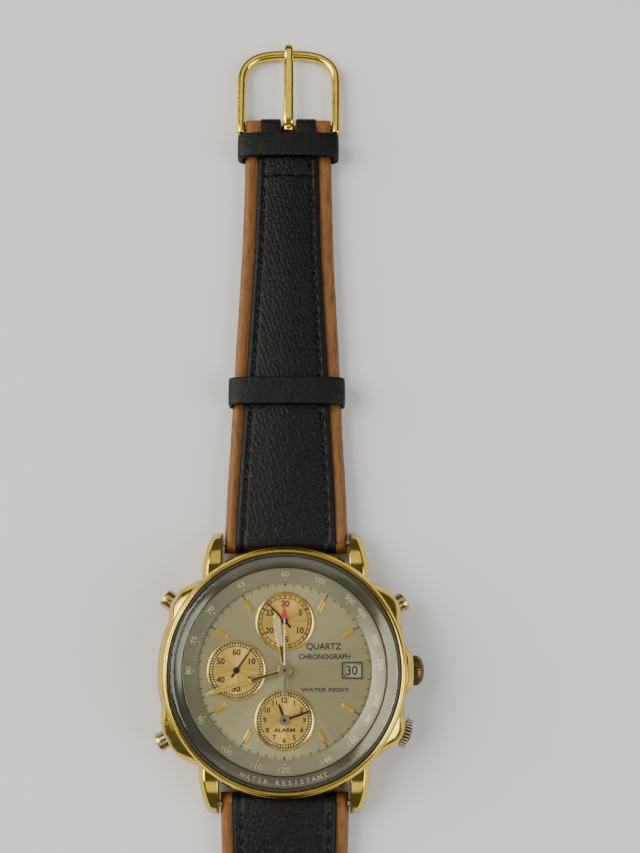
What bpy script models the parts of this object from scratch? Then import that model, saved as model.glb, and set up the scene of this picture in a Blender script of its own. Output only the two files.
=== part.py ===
"""A quartz chronograph wristwatch with an alarm subdial, on a buckled leather strap.

It lies on its case back with both strap halves laid out flat. The origin is the centre of
the case back's rest face, +Z points out of the dial, +Y to 12 o'clock and +X to 3 o'clock.
Lengths are written in millimetres and scaled once, when an object is made.
"""

import math

import bmesh
import bpy
from mathutils import Matrix, Vector

MM = 0.001
CASE_SIDES = 60
RING_SIDES = 36
SMALL_SIDES = 16

# Where the subdials stand, and the height of each crown's and pusher's axis.
SUBDIAL_OFFSET = 7.55
STEM_Z = 3.9

# Strap: the spring bars, and how the two halves run out from them.
BAR_Y = 20.3
BAR_Z = 2.9
SHORT_FLEX_Y = 68.0
LONG_FLEX_Y = 72.0
BUCKLE_BAR_Y = 92.8
BUCKLE_BAR_Z = 1.75
SPLIT = 0.03

# Shading turns from smooth to sharp where two faces meet at more than this, in degrees.
SHARP_ANGLE = 35.0

# The bezel's scalloped outline: (angle clockwise from 12, half width, flat half width, height).
BEZEL_BASE = 19.25
BEZEL_LOBES = (
    (58.0, 16.0, 1.0, 1.4),
    (90.0, 12.0, 6.0, 0.85),
    (119.0, 15.0, 1.0, 1.45),
    (239.0, 22.0, 3.0, 1.7),
    (270.0, 34.0, 16.0, 0.55),
    (303.0, 16.0, 2.0, 1.45),
    (0.0, 44.0, 12.0, 0.3),
    (180.0, 44.0, 12.0, 0.3),
)

MATERIALS = {
    "gold_case": ((0.75, 0.58, 0.26), 0.18, 1.0),
    "gold_trim": ((0.80, 0.64, 0.30), 0.22, 1.0),
    "worn_gold": ((0.70, 0.64, 0.48), 0.28, 1.0),
    "steel": ((0.62, 0.62, 0.60), 0.30, 1.0),
    "brass": ((0.70, 0.54, 0.25), 0.35, 1.0),
    "crystal": ((0.86, 0.90, 0.88), 0.03, 0.0),
    "rubber": ((0.03, 0.03, 0.03), 0.70, 0.0),
    "dark_ring": ((0.10, 0.11, 0.09), 0.12, 1.0),
    "grey_ring": ((0.26, 0.26, 0.21), 0.20, 1.0),
    "dial_silver": ((0.42, 0.43, 0.33), 0.45, 0.4),
    "red_hand": ((0.60, 0.10, 0.06), 0.35, 0.0),
    "black_hand": ((0.03, 0.02, 0.02), 0.35, 0.3),
    "date_white": ((0.72, 0.71, 0.66), 0.60, 0.0),
    "plastic": ((0.80, 0.79, 0.74), 0.50, 0.0),
    "board": ((0.05, 0.20, 0.09), 0.45, 0.0),
    "copper": ((0.72, 0.32, 0.16), 0.35, 1.0),
    "tan_leather": ((0.42, 0.23, 0.09), 0.65, 0.0),
    "black_leather": ((0.02, 0.02, 0.018), 0.45, 0.0),
    "buckle_gold": ((0.80, 0.62, 0.27), 0.20, 1.0),
}


def clear_scene():
    for obj in list(bpy.data.objects):
        bpy.data.objects.remove(obj, do_unlink=True)


def material(slot):
    found = bpy.data.materials.get(slot)
    if found:
        return found
    colour, roughness, metallic = MATERIALS[slot]
    made = bpy.data.materials.new(slot)
    made.use_nodes = True
    shader = made.node_tree.nodes["Principled BSDF"]
    shader.inputs["Base Color"].default_value = (*colour, 1.0)
    shader.inputs["Roughness"].default_value = roughness
    shader.inputs["Metallic"].default_value = metallic
    if slot == "crystal":
        shader.inputs["Alpha"].default_value = 0.3
    return made


def add(name, bm, slot=None, matrix=None, pivot=(0.0, 0.0, 0.0)):
    """Makes the object from a bmesh in millimetres. With no slot it is a helper that is never rendered."""
    if matrix is not None:
        bmesh.ops.transform(bm, matrix=matrix, verts=bm.verts)
    bmesh.ops.translate(bm, vec=-Vector(pivot), verts=bm.verts)
    bmesh.ops.scale(bm, vec=(MM, MM, MM), verts=bm.verts)
    bmesh.ops.recalc_face_normals(bm, faces=bm.faces)
    mesh = bpy.data.meshes.new(name)
    bm.to_mesh(mesh)
    bm.free()
    mesh.shade_smooth()
    mesh.set_sharp_from_angle(angle=math.radians(SHARP_ANGLE))
    obj = bpy.data.objects.new(name, mesh)
    obj.location = Vector(pivot) * MM
    bpy.context.scene.collection.objects.link(obj)
    if slot is None:
        obj.hide_render = True
        obj.display_type = "WIRE"
    else:
        mesh.materials.append(material(slot))
    return obj


def boolean(obj, helper, operation):
    modifier = obj.modifiers.new(helper.name, "BOOLEAN")
    modifier.operation = operation
    modifier.solver = "EXACT"
    modifier.object = helper


def cut(obj, *helpers):
    for helper in helpers:
        boolean(obj, helper, "DIFFERENCE")


def join(obj, *helpers):
    for helper in helpers:
        boolean(obj, helper, "UNION")


def lathe(profile, sides=RING_SIDES, radius_of=None):
    """Turns (radius, height) points about Z. Points on the axis become poles, and a loop with none closes on itself."""
    bm = bmesh.new()
    columns = []
    poles = {}
    for side in range(sides):
        turn = 2 * math.pi * side / sides
        column = []
        for index, (radius, height) in enumerate(profile):
            if radius == 0:
                if index not in poles:
                    poles[index] = bm.verts.new((0, 0, height))
                column.append(poles[index])
                continue
            reach = radius_of(turn, radius) if radius_of else radius
            column.append(
                bm.verts.new((reach * math.sin(turn), reach * math.cos(turn), height))
            )
        columns.append(column)
    count = len(profile)
    open_ended = profile[0][0] == 0 and profile[-1][0] == 0
    for side in range(sides):
        here = columns[side]
        there = columns[(side + 1) % sides]
        for index in range(count - 1 if open_ended else count):
            after = (index + 1) % count
            corners = []
            for vert in (here[index], here[after], there[after], there[index]):
                if vert not in corners:
                    corners.append(vert)
            if len(corners) > 2:
                bm.faces.new(corners)
    return bm


def loft(sections, fan=False):
    """Joins closed loops of equal length into one solid with flat ends.

    With `fan` the ends' triangles all meet in the middle, which a notched outline needs.
    """
    bm = bmesh.new()
    loops = [[bm.verts.new(point) for point in section] for section in sections]
    count = len(sections[0])
    for first, second in zip(loops, loops[1:]):
        for index in range(count):
            after = (index + 1) % count
            bm.faces.new((first[index], first[after], second[after], second[index]))
    ends = [bm.faces.new(loops[0]), bm.faces.new(loops[-1])]
    if fan:
        bmesh.ops.poke(bm, faces=ends)
    elif count > 4:
        bmesh.ops.triangulate(bm, faces=ends)
    return bm


def plate(outline, low, high, holes=()):
    """A flat plate from an outline in X and Y, with openings."""
    bm = bmesh.new()
    edges = []
    for loop in (outline, *holes):
        verts = [bm.verts.new((x, y, low)) for x, y in loop]
        for index, vert in enumerate(verts):
            edges.append(bm.edges.new((vert, verts[(index + 1) % len(verts)])))
    bmesh.ops.triangle_fill(bm, use_beauty=True, edges=edges)
    raised = bmesh.ops.extrude_face_region(bm, geom=list(bm.faces))
    verts = [item for item in raised["geom"] if isinstance(item, bmesh.types.BMVert)]
    bmesh.ops.translate(bm, vec=(0, 0, high - low), verts=verts)
    return bm


def circle(radius, sides=SMALL_SIDES, centre=(0.0, 0.0)):
    return [
        (
            centre[0] + radius * math.sin(2 * math.pi * side / sides),
            centre[1] + radius * math.cos(2 * math.pi * side / sides),
        )
        for side in range(sides)
    ]


def rectangle(x0, y0, x1, y1):
    return [(x0, y0), (x1, y0), (x1, y1), (x0, y1)]


def box(x0, y0, z0, x1, y1, z1):
    return plate(rectangle(x0, y0, x1, y1), z0, z1)


def cylinder(radius, low, high, sides=SMALL_SIDES):
    return lathe(((0, low), (radius, low), (radius, high), (0, high)), sides)


def along_x(y, z):
    """Turns a shape made about Z so that it runs along X through (y, z)."""
    return Matrix.Translation((0, y, z)) @ Matrix.Rotation(math.pi / 2, 4, "Y")


def outward(place, radius, direction):
    """Puts a shape made about Z at a place on the case's side, with its +Z pointing outward.

    The angles are clockwise from 12 o'clock, and the shape's origin is its outer end.
    """
    at = math.radians(place)
    way = math.radians(direction)
    point = Vector((radius * math.sin(at), radius * math.cos(at), STEM_Z))
    out = Vector((math.sin(way), math.cos(way), 0))
    side = Vector((0, 0, 1)).cross(out)
    turn = Matrix((side, Vector((0, 0, 1)), out)).transposed()
    if turn.determinant() < 0:
        turn = Matrix((-side, Vector((0, 0, 1)), out)).transposed()
    return Matrix.Translation(point) @ turn.to_4x4()


def lobe(angle, centre, half_width, flat, height):
    away = abs((angle - centre + 180) % 360 - 180)
    share = min(1.0, max(0.0, (half_width - away) / (half_width - flat)))
    return height * share * share * (3 - 2 * share)


def bezel_radius(turn):
    """The scalloped outline, wider where the pushers and crowns come out."""
    angle = math.degrees(turn)
    return BEZEL_BASE + max(lobe(angle, *each) for each in BEZEL_LOBES)


def scalloped(fixed):
    """Radii up to `fixed` stay round. Larger ones are measured back from the scalloped outline."""

    def reach(turn, radius):
        return radius if radius <= fixed else bezel_radius(turn) - (30.0 - radius)

    return reach


# ---------------------------------------------------------------- case

PUSHERS = {
    "start_stop": (60.0, 22.2, 60.0),
    "alarm": (240.5, 22.9, 239.5),
    "split_reset": (300.8, 22.6, 304.0),
}
CROWNS = {
    "crown": (90.0, 21.95, 90.0),
    "alarm_crown": (116.8, 22.0, 109.0),
}

def lug_section(y, outer, low, high, side_x, side_y):
    """One section across a lug: flat inside, bevelled on top and outside."""
    inner = 10.2
    points = (
        (inner, low),
        (outer - 0.5, low),
        (outer, low + 0.6),
        (outer, high - 0.9),
        (outer - 0.8, high),
        (inner, high),
    )
    return [(side_x * x, side_y * y, z) for x, z in points]


def lug(side_x, side_y):
    rows = (
        (12.5, 13.3, 1.6, 5.9),
        (16.0, 13.25, 1.35, 6.3),
        (18.0, 12.95, 1.2, 6.05),
        (19.6, 12.6, 1.15, 5.45),
        (20.8, 12.25, 1.15, 4.7),
        (21.5, 12.0, 1.2, 3.9),
        (21.85, 11.75, 1.45, 3.1),
    )
    return loft([lug_section(*row, side_x, side_y) for row in rows])


def make_case():
    profile = (
        (15.9, 1.1),
        (17.4, 1.1),
        (28.0, 1.75),
        (29.3, 3.2),
        (29.75, 5.0),
        (29.85, 6.15),
        (29.6, 6.5),
        (15.0, 6.5),
        (15.0, 2.0),
        (15.9, 2.0),
    )
    case = add("case_middle", lathe(profile, CASE_SIDES, scalloped(17.5)), "gold_case")
    for side_x in (-1, 1):
        for side_y in (-1, 1):
            name = f"lug_{'left' if side_x < 0 else 'right'}_{12 if side_y > 0 else 6}"
            join(case, add(name, lug(side_x, side_y)))
    for hour, side_y in ((12, 1), (6, -1)):
        arch = [(2.6 * math.cos(a * math.pi / 8), 2.6 * math.sin(a * math.pi / 8)) for a in range(9)]
        outline = [(BAR_Y + y, BAR_Z + z) for y, z in arch]
        outline += [(BAR_Y - 2.6, -1.0), (BAR_Y + 2.6, -1.0)]
        sections = [[(x, side_y * y, z) for y, z in outline] for x in (-10.15, 10.15)]
        cut(case, add(f"strap_recess_{hour}", loft(sections)))
        hole = cylinder(0.45, -11.35, 11.35, 12)
        cut(case, add(f"bar_hole_{hour}", hole, None, along_x(side_y * BAR_Y, BAR_Z)))
    for name, spot in PUSHERS.items():
        bore = ((0, -9.5), (1.15, -9.5), (1.15, -2.85), (1.7, -2.85), (1.7, 2.0), (0, 2.0))
        cut(case, add(f"{name}_bore", lathe(bore, SMALL_SIDES), None, outward(*spot)))
    for name, spot in CROWNS.items():
        face = -2.35 if name == "crown" else -2.1
        reach = 2.55 if name == "crown" else 2.5
        bore = ((0, -9.5), (0.6, -9.5), (0.6, face), (reach, face), (reach, 2.0), (0, 2.0))
        cut(case, add(f"{name}_bore", lathe(bore, SMALL_SIDES), None, outward(*spot)))

    back = ((0, 0), (16.9, 0), (17.2, 0.3), (17.2, 1.05), (15.2, 1.05), (15.2, 1.95))
    back += ((14.4, 1.95), (14.4, 0.9), (0, 0.9))
    add("case_back", lathe(back), "steel")
    seal = ((15.25, 1.12), (15.82, 1.12), (15.82, 1.9), (15.25, 1.9))
    add("case_back_gasket", lathe(seal), "rubber")

    rim = (
        (16.0, 6.55),
        (29.5, 6.55),
        (29.88, 6.85),
        (30.0, 7.3),
        (29.75, 7.75),
        (19.0, 8.75),
        (18.85, 9.0),
        (18.4, 9.4),
        (18.05, 9.2),
        (18.05, 7.0),
        (16.0, 7.0),
    )
    add("bezel", lathe(rim, CASE_SIDES, scalloped(19.1)), "gold_case")
    dome = ((0, 8.32), (17.7, 8.32), (17.7, 9.2), (17.35, 9.5), (9.0, 9.72), (0, 9.8))
    add("crystal", lathe(dome), "crystal")
    seal = ((17.75, 8.34), (17.98, 8.34), (17.98, 9.15), (17.75, 9.15))
    add("crystal_gasket", lathe(seal), "rubber")
    flange = ((15.97, 7.05), (17.98, 7.05), (17.98, 8.27), (17.6, 8.27), (15.97, 7.7))
    add("flange_ring", lathe(flange), "dark_ring")
    scale = ((13.6, 6.75), (15.9, 6.75), (15.9, 7.55), (15.75, 7.6), (13.6, 6.95))
    add("tachymeter_ring", lathe(scale), "grey_ring")


# ---------------------------------------------------------------- pushers and crowns


def make_pusher(name, spot):
    place = outward(*spot)
    pivot = place.translation
    shape = (
        (0, -8.3),
        (0.5, -8.3),
        (0.55, -8.2),
        (0.55, -1.75),
        (1.45, -1.75),
        (1.45, -1.15),
        (1.25, -1.1),
        (1.25, -1.0),
        (1.5, -0.95),
        (1.5, -0.3),
        (1.2, 0.0),
        (0, 0.0),
    )
    add(f"{name}_pusher", lathe(shape, SMALL_SIDES), "worn_gold", place, pivot)
    sleeve = ((0.62, -7.0), (1.1, -7.0), (1.1, -2.9), (0.62, -2.9))
    add(f"{name}_pusher_tube", lathe(sleeve, SMALL_SIDES), "steel", place)


def make_crown(name, spot, radius, thickness, slot):
    """A coin-edged crown on its stem, and the clutch wheel that the stem slides through."""
    place = outward(*spot)
    pivot = place.translation
    edge = []
    notches = 24
    for index in range(notches * 2):
        reach = radius if index % 2 else radius - 0.14
        turn = math.pi * index / notches
        edge.append((reach * math.cos(turn), reach * math.sin(turn)))
    sections = [
        [(x * 0.93, y * 0.93, -thickness) for x, y in edge],
        [(x, y, -thickness + 0.12) for x, y in edge],
        [(x, y, -0.35) for x, y in edge],
        [(x * 0.88, y * 0.88, -0.12) for x, y in edge],
        [(x * 0.55, y * 0.55, 0.0) for x, y in edge],
    ]
    crown = add(name, loft(sections, fan=True), slot, place, pivot)
    stem = cylinder(0.4, -11.0, -thickness + 0.3, 12)
    join(crown, add(f"{name}_stem", stem, None, place, pivot))
    teeth = gear_outline(12, 0.13, 0.0)
    wheel = plate(teeth, -11.2, -9.6, [circle(0.46, 12)])
    add(f"{name}_clutch_wheel", wheel, "steel", place, pivot)


def make_controls():
    for name, spot in PUSHERS.items():
        make_pusher(name, spot)
    make_crown("crown", CROWNS["crown"], 2.35, 2.2, "brass")
    make_crown("alarm_crown", CROWNS["alarm_crown"], 2.3, 1.25, "worn_gold")


# ---------------------------------------------------------------- gears and movement


def gear_outline(teeth, module, toward, gap=False, centre=(0.0, 0.0)):
    """Pointed teeth. One tooth, or one gap, faces the direction `toward` in degrees clockwise from 12."""
    pitch = 2 * math.pi / teeth
    start = math.radians(toward) + (pitch / 2 if gap else 0.0)
    middle = teeth * module / 2
    points = []
    for index in range(teeth * 2):
        reach = middle + 0.7 * module if index % 2 == 0 else middle - 0.95 * module
        turn = start + index * pitch / 2
        points.append(
            (centre[0] + reach * math.sin(turn), centre[1] + reach * math.cos(turn))
        )
    return points


def bearing(start, end):
    return math.degrees(math.atan2(end[0] - start[0], end[1] - start[1]))


CENTRE = (0.0, 0.0)
FOURTH = (-SUBDIAL_OFFSET, 0.0)
THIRD = (-3.832, 1.683)
MINUTE_WHEEL = (1.923, 1.923)
TRAIN_MODULE = 0.155
THIRD_MODULE = 0.16
MOTION_MODULE = 0.17
HOUR_MODULE = 2.72 / 15


def arbor(radius, low, high, centre, bore=0.0):
    holes = [circle(bore, 12, centre)] if bore else []
    return plate(circle(radius, 12, centre), low, high, holes)


def make_train():
    to_third = bearing(CENTRE, THIRD)
    third_to_fourth = bearing(THIRD, FOURTH)
    to_motion = bearing(CENTRE, MINUTE_WHEEL)

    bore = [circle(0.27, 12)]
    minute = add("minute_arbor_and_wheel", arbor(0.5, 2.6, 7.49, CENTRE, 0.27), "brass")
    wheel = plate(gear_outline(48, TRAIN_MODULE, to_third), 2.7, 2.95, bore)
    join(minute, add("centre_wheel_teeth", wheel))
    cannon = plate(gear_outline(8, MOTION_MODULE, to_motion), 5.42, 5.74, bore)
    join(minute, add("cannon_teeth", cannon))

    pivot = (*THIRD, 0.0)
    third = add("third_wheel", arbor(0.24, 2.5, 4.65, THIRD), "brass", None, pivot)
    leaves = gear_outline(6, TRAIN_MODULE, to_third + 180, True, THIRD)
    join(third, add("third_pinion_teeth", plate(leaves, 2.6, 3.2), None, None, pivot))
    teeth = gear_outline(45, THIRD_MODULE, third_to_fourth, False, THIRD)
    join(third, add("third_wheel_teeth", plate(teeth, 3.4, 3.65), None, None, pivot))

    pivot = (*FOURTH, 0.0)
    fourth = add("small_seconds_arbor", arbor(0.24, 2.5, 6.84, FOURTH), "steel", None, pivot)
    leaves = gear_outline(6, THIRD_MODULE, third_to_fourth + 180, True, FOURTH)
    join(fourth, add("fourth_pinion_teeth", plate(leaves, 3.2, 3.9), None, None, pivot))

    pivot = (*MINUTE_WHEEL, 0.0)
    teeth = gear_outline(24, MOTION_MODULE, to_motion + 180, True, MINUTE_WHEEL)
    carrier = plate(teeth, 5.45, 5.7)
    motion = add("minute_wheel", carrier, "brass", None, pivot)
    leaves = gear_outline(6, HOUR_MODULE, to_motion + 180, False, MINUTE_WHEEL)
    join(motion, add("minute_wheel_pinion", plate(leaves, 5.6, 6.15), None, None, pivot))

    pipe = [circle(0.58, 12)]
    hour = add("hour_wheel", arbor(0.85, 5.8, 7.24, CENTRE, 0.58), "brass")
    teeth = plate(gear_outline(24, HOUR_MODULE, to_motion, True), 5.88, 6.12, pipe)
    join(hour, add("hour_wheel_teeth", teeth))


def make_movement():
    ring = plate(circle(14.85, RING_SIDES), 2.1, 6.25, [circle(13.85, RING_SIDES)])
    holder = add("movement_holder", ring, "plastic")
    for name, spot in {**PUSHERS, **CROWNS}.items():
        slot = cylinder(0.85, -10.5, -5.5, 10)
        cut(holder, add(f"{name}_holder_slot", slot, None, outward(*spot)))

    openings = [
        circle(0.95, 12),
        circle(0.34, 10, FOURTH),
        circle(0.34, 10, (0, SUBDIAL_OFFSET)),
        circle(0.66, 10, (0, -SUBDIAL_OFFSET)),
    ]
    top = plate(circle(13.78, RING_SIDES), 4.75, 5.35, openings)
    add("main_plate", top, "brass")
    outline = ((-10.5, -2.2), (2.6, -2.2), (2.6, 3.6), (-1.5, 5.8), (-8.0, 5.8), (-10.5, 3.0))
    add("train_bridge", plate(outline, 2.02, 2.42), "brass")
    outline = ((3.0, 3.8), (3.0, -4.2), (7.6, -8.6), (9.6, -9.6), (12.6, -4.8), (13.0, 3.0))
    outline += ((10.8, 8.0), (6.0, 11.8), (0.0, 13.2), (-6.5, 11.6), (-8.0, 6.2), (-1.2, 6.2))
    add("circuit_board", plate(outline, 2.02, 2.4), "board")
    add("quartz_crystal", cylinder(0.8, -2.8, 2.8, 12), "steel", along_x(9.6, 3.3))
    bobbin = ((0, -4.0), (1.05, -4.0), (1.05, -3.6), (0.85, -3.6), (0.85, 3.6), (1.05, 3.6))
    bobbin += ((1.05, 4.0), (0, 4.0))
    turn = Matrix.Translation((6.6, -0.6, 3.55)) @ Matrix.Rotation(math.pi / 2, 4, "X")
    add("motor_coil", lathe(bobbin, 12), "copper", turn)
    cell = ((0, 1.4), (4.55, 1.4), (4.75, 1.6), (4.75, 3.5), (4.2, 3.6), (4.2, 4.1), (0, 4.1))
    place = Matrix.Translation((-4.6, -7.68, 0))
    add("battery", lathe(cell, 24), "steel", place)
    add("battery_clamp", box(-9.6, -8.6, 4.16, 0.4, -6.8, 4.42), "steel")
    add("alarm_buzzer", cylinder(9.0, 0.93, 1.25, 24), "brass")


# ---------------------------------------------------------------- dial and hands


def rotated(points, angle, centre=(0.0, 0.0)):
    """Turns points clockwise about the origin, then moves them to the centre."""
    turn = math.radians(angle)
    return [
        (
            centre[0] + x * math.cos(turn) + y * math.sin(turn),
            centre[1] - x * math.sin(turn) + y * math.cos(turn),
        )
        for x, y in points
    ]


def marker(angle):
    """A faceted baton, raised on the dial."""
    low = [(-0.42, 10.4), (0.42, 10.4), (0.42, 12.45), (-0.42, 12.45)]
    high = [(-0.16, 10.6), (0.16, 10.6), (0.16, 12.3), (-0.16, 12.3)]
    sections = [[(x, y, 6.6) for x, y in rotated(low, angle)]]
    sections.append([(x, y, 7.0) for x, y in rotated(high, angle)])
    return loft(sections)


def make_dial():
    openings = [
        circle(0.95, 12),
        circle(0.34, 10, FOURTH),
        circle(0.34, 10, (0, SUBDIAL_OFFSET)),
        circle(0.66, 10, (0, -SUBDIAL_OFFSET)),
        rectangle(9.1, -1.05, 11.9, 1.05),
    ]
    dial = add("dial", plate(circle(14.85, RING_SIDES), 6.3, 6.7, openings), "dial_silver")
    for hour in (1, 2, 4, 5, 7, 8, 10, 11):
        join(dial, add(f"hour_marker_{hour}", marker(30 * hour)))
    rim = ((4.15, 6.73), (4.55, 6.73), (4.5, 6.9), (4.3, 6.98), (4.15, 6.86))
    for hour, centre in ((12, (0, SUBDIAL_OFFSET)), (9, FOURTH), (6, (0, -SUBDIAL_OFFSET))):
        place = Matrix.Translation((*centre, 0))
        add(f"subdial_ring_{hour}", lathe(rim, 24), "gold_trim", place)
    frame = plate(rectangle(8.9, -1.3, 12.1, 1.3), 6.73, 6.88, [rectangle(9.15, -1.05, 11.85, 1.05)])
    add("date_window_frame", frame, "gold_trim")
    ring = plate(circle(12.4, RING_SIDES), 5.9, 6.15, [circle(9.0, 31)])
    add("date_wheel", ring, "date_white")


def hand(name, outline, low, high, angle, slot, centre=CENTRE, bore=0.0):
    holes = [circle(bore, 12, centre)] if bore else []
    shape = plate(rotated(outline, angle, centre), low, high, holes)
    return add(name, shape, slot, None, (*centre, 0.0))


def needle(hub, neck, widest, widest_at, tip, tail=None):
    """Half outline of a hand pointing to 12: a round hub, a neck, a body and a point, mirrored."""
    right = []
    steps = 5
    for index in range(1, steps):
        turn = math.pi * index / (steps * 1.12)
        right.append((hub * math.sin(turn), -hub * math.cos(turn)))
    right.append((neck, hub * 0.96))
    right.append((widest, widest_at))
    right.append((widest * 0.12 + 0.02, tip))
    if tail:
        right = [(neck, -tail)] + [(neck, -hub * 0.96)] + right[1:]
    else:
        right = [(0.02, -hub)] + right
    left = [(-x, y) for x, y in reversed(right)]
    return right + left


def make_hands():
    hand("hour_hand", needle(1.2, 0.3, 0.58, 7.2, 8.3), 7.27, 7.4, 350.5, "gold_trim", bore=0.88)
    minute = needle(1.15, 0.3, 0.6, 10.9, 12.8)
    hand("minute_hand", minute, 7.52, 7.64, 253.6, "gold_trim", bore=0.30)
    pointer = [(0.35, -4.0), (0.35, -1.2), (0.8, -0.6), (0.8, 0.6), (0.3, 1.2), (0.13, 7.4)]
    pointer += [(0.45, 7.5), (0.12, 10.0), (0.05, 12.6)]
    pointer += [(-x, y) for x, y in reversed(pointer)]
    chrono = hand("chronograph_seconds_hand", pointer, 7.76, 7.86, 359.5, "red_hand")
    post = plate(circle(0.22, 12), 2.5, 8.05)
    join(chrono, add("chronograph_seconds_post", post))

    thin = needle(0.55, 0.12, 0.14, 2.4, 3.8, tail=1.3)
    hand("small_seconds_hand", thin, 6.86, 6.95, 35.0, "black_hand", FOURTH)
    top = (0.0, SUBDIAL_OFFSET)
    counter = hand("chronograph_minutes_hand", thin, 6.86, 6.95, 316.0, "black_hand", top)
    post = plate(circle(0.24, 10, top), 4.4, 7.05)
    join(counter, add("chronograph_minutes_post", post, None, None, (*top, 0.0)))

    low = (0.0, -SUBDIAL_OFFSET)
    short = needle(0.62, 0.13, 0.16, 1.9, 2.7)
    hour = hand("alarm_hour_hand", short, 6.82, 6.91, 339.5, "black_hand", low, bore=0.36)
    pipe = plate(circle(0.58, 12, low), 5.0, 6.86, [circle(0.36, 12, low)])
    join(hour, add("alarm_hour_pipe", pipe, None, None, (*low, 0.0)))
    long = needle(0.8, 0.13, 0.16, 2.6, 4.05)
    minute = hand("alarm_minute_hand", long, 7.0, 7.09, 71.0, "black_hand", low)
    post = plate(circle(0.28, 10, low), 4.5, 7.18)
    join(minute, add("alarm_minute_post", post, None, None, (*low, 0.0)))


# ---------------------------------------------------------------- strap and buckle


def between(y, rows):
    """Reads the row values at y, in a straight line between the rows' stated places."""
    if y <= rows[0][0]:
        return rows[0][1:]
    for first, second in zip(rows, rows[1:]):
        if y <= second[0]:
            share = (y - first[0]) / (second[0] - first[0])
            return [a + (b - a) * share for a, b in zip(first[1:], second[1:])]
    return rows[-1][1:]


# Distance from the centre, then width, underside, top of the lining and top of the padding.
SHORT_ROWS = (
    (20.3, 20.0, 1.15, 4.45, 5.15),
    (30.0, 19.3, 1.15, 3.90, 5.05),
    (43.0, 18.05, 1.20, 3.15, 4.65),
    (50.0, 17.45, 1.20, 3.02, 4.45),
    (71.0, 15.5, 1.20, 2.80, 4.10),
    (84.5, 14.9, 1.20, 2.70, 3.70),
    (92.0, 14.8, 1.10, 2.75, 3.45),
)
LONG_ROWS = (
    (20.3, 20.0, 1.15, 4.45, 5.15),
    (26.0, 19.7, 0.60, 3.60, 4.80),
    (33.0, 19.2, 0.00, 2.60, 3.90),
    (54.0, 17.7, 0.00, 1.90, 3.15),
    (72.0, 16.6, 0.00, 1.70, 2.90),
    (90.0, 16.0, 0.00, 1.60, 2.40),
    (126.0, 16.0, 0.00, 1.50, 2.10),
    (130.5, 13.6, 0.00, 1.45, 1.95),
    (133.8, 8.6, 0.00, 1.40, 1.85),
    (135.3, 3.0, 0.00, 1.35, 1.80),
)


# The linings are folded round the spring bars with these outer radii.
LUG_END_RADIUS = 1.75
BUCKLE_END_RADIUS = 1.45


def lining_section(y, way, width, low, high):
    half = width / 2
    edge = min(0.5, (high - low) / 3)
    side = min(0.5, half / 2)
    points = (
        (-half, low + edge),
        (-half + side, low),
        (half - side, low),
        (half, low + edge),
        (half, high - edge),
        (half - side, high),
        (-half + side, high),
        (-half, high - edge),
    )
    return [(x, way * y, z) for x, z in points]


def padding_section(y, way, width, low, high):
    half = width / 2
    shoulder = min(1.6, half * 0.6)
    points = (
        (-half, low),
        (half, low),
        (half, low + 0.35 * (high - low)),
        (half - shoulder, high - 0.08),
        (0, high),
        (-half + shoulder, high - 0.08),
        (-half, low + 0.35 * (high - low)),
    )
    return [(x, way * y, z) for x, z in points]


def steps_between(start, end, rows):
    inside = [row[0] for row in rows if start < row[0] < end]
    return sorted({start, end, *inside})


def lining(rows, way, start, end, rounded_start=False, rounded_end=False):
    sections = []
    for y in steps_between(start, end, rows):
        width, low, high, _ = between(y, rows)
        sections.append(lining_section(y, way, width, low, high))
    if rounded_start:
        for share in (0.51, 0.83, 0.97):
            drop = LUG_END_RADIUS * share
            half = math.sqrt(LUG_END_RADIUS**2 - drop**2)
            low, high = BAR_Z - half, BAR_Z + half
            sections.insert(0, lining_section(BAR_Y - drop, way, rows[0][1], low, high))
    if rounded_end:
        for share in (0.0, 0.53, 0.82, 0.97):
            drop = BUCKLE_END_RADIUS * share
            half = math.sqrt(BUCKLE_END_RADIUS**2 - drop**2)
            low, high = BUCKLE_BAR_Z - half, BUCKLE_BAR_Z + half
            sections.append(lining_section(BUCKLE_BAR_Y + drop, way, rows[-1][1], low, high))
    return loft(sections)


def padding(rows, way, start, end, margin_at):
    sections = []
    for y in steps_between(start, end, rows):
        width, _, low, high = between(y, rows)
        panel = max(1.2, width - 2 * margin_at(y))
        sections.append(padding_section(y, way, panel, low + SPLIT, high))
    return loft(sections)


def short_margin(y):
    return 1.9 + 0.25 * min(1.0, max(0.0, (y - 30.0) / 40.0))


def long_margin(y):
    return 1.9


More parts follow.
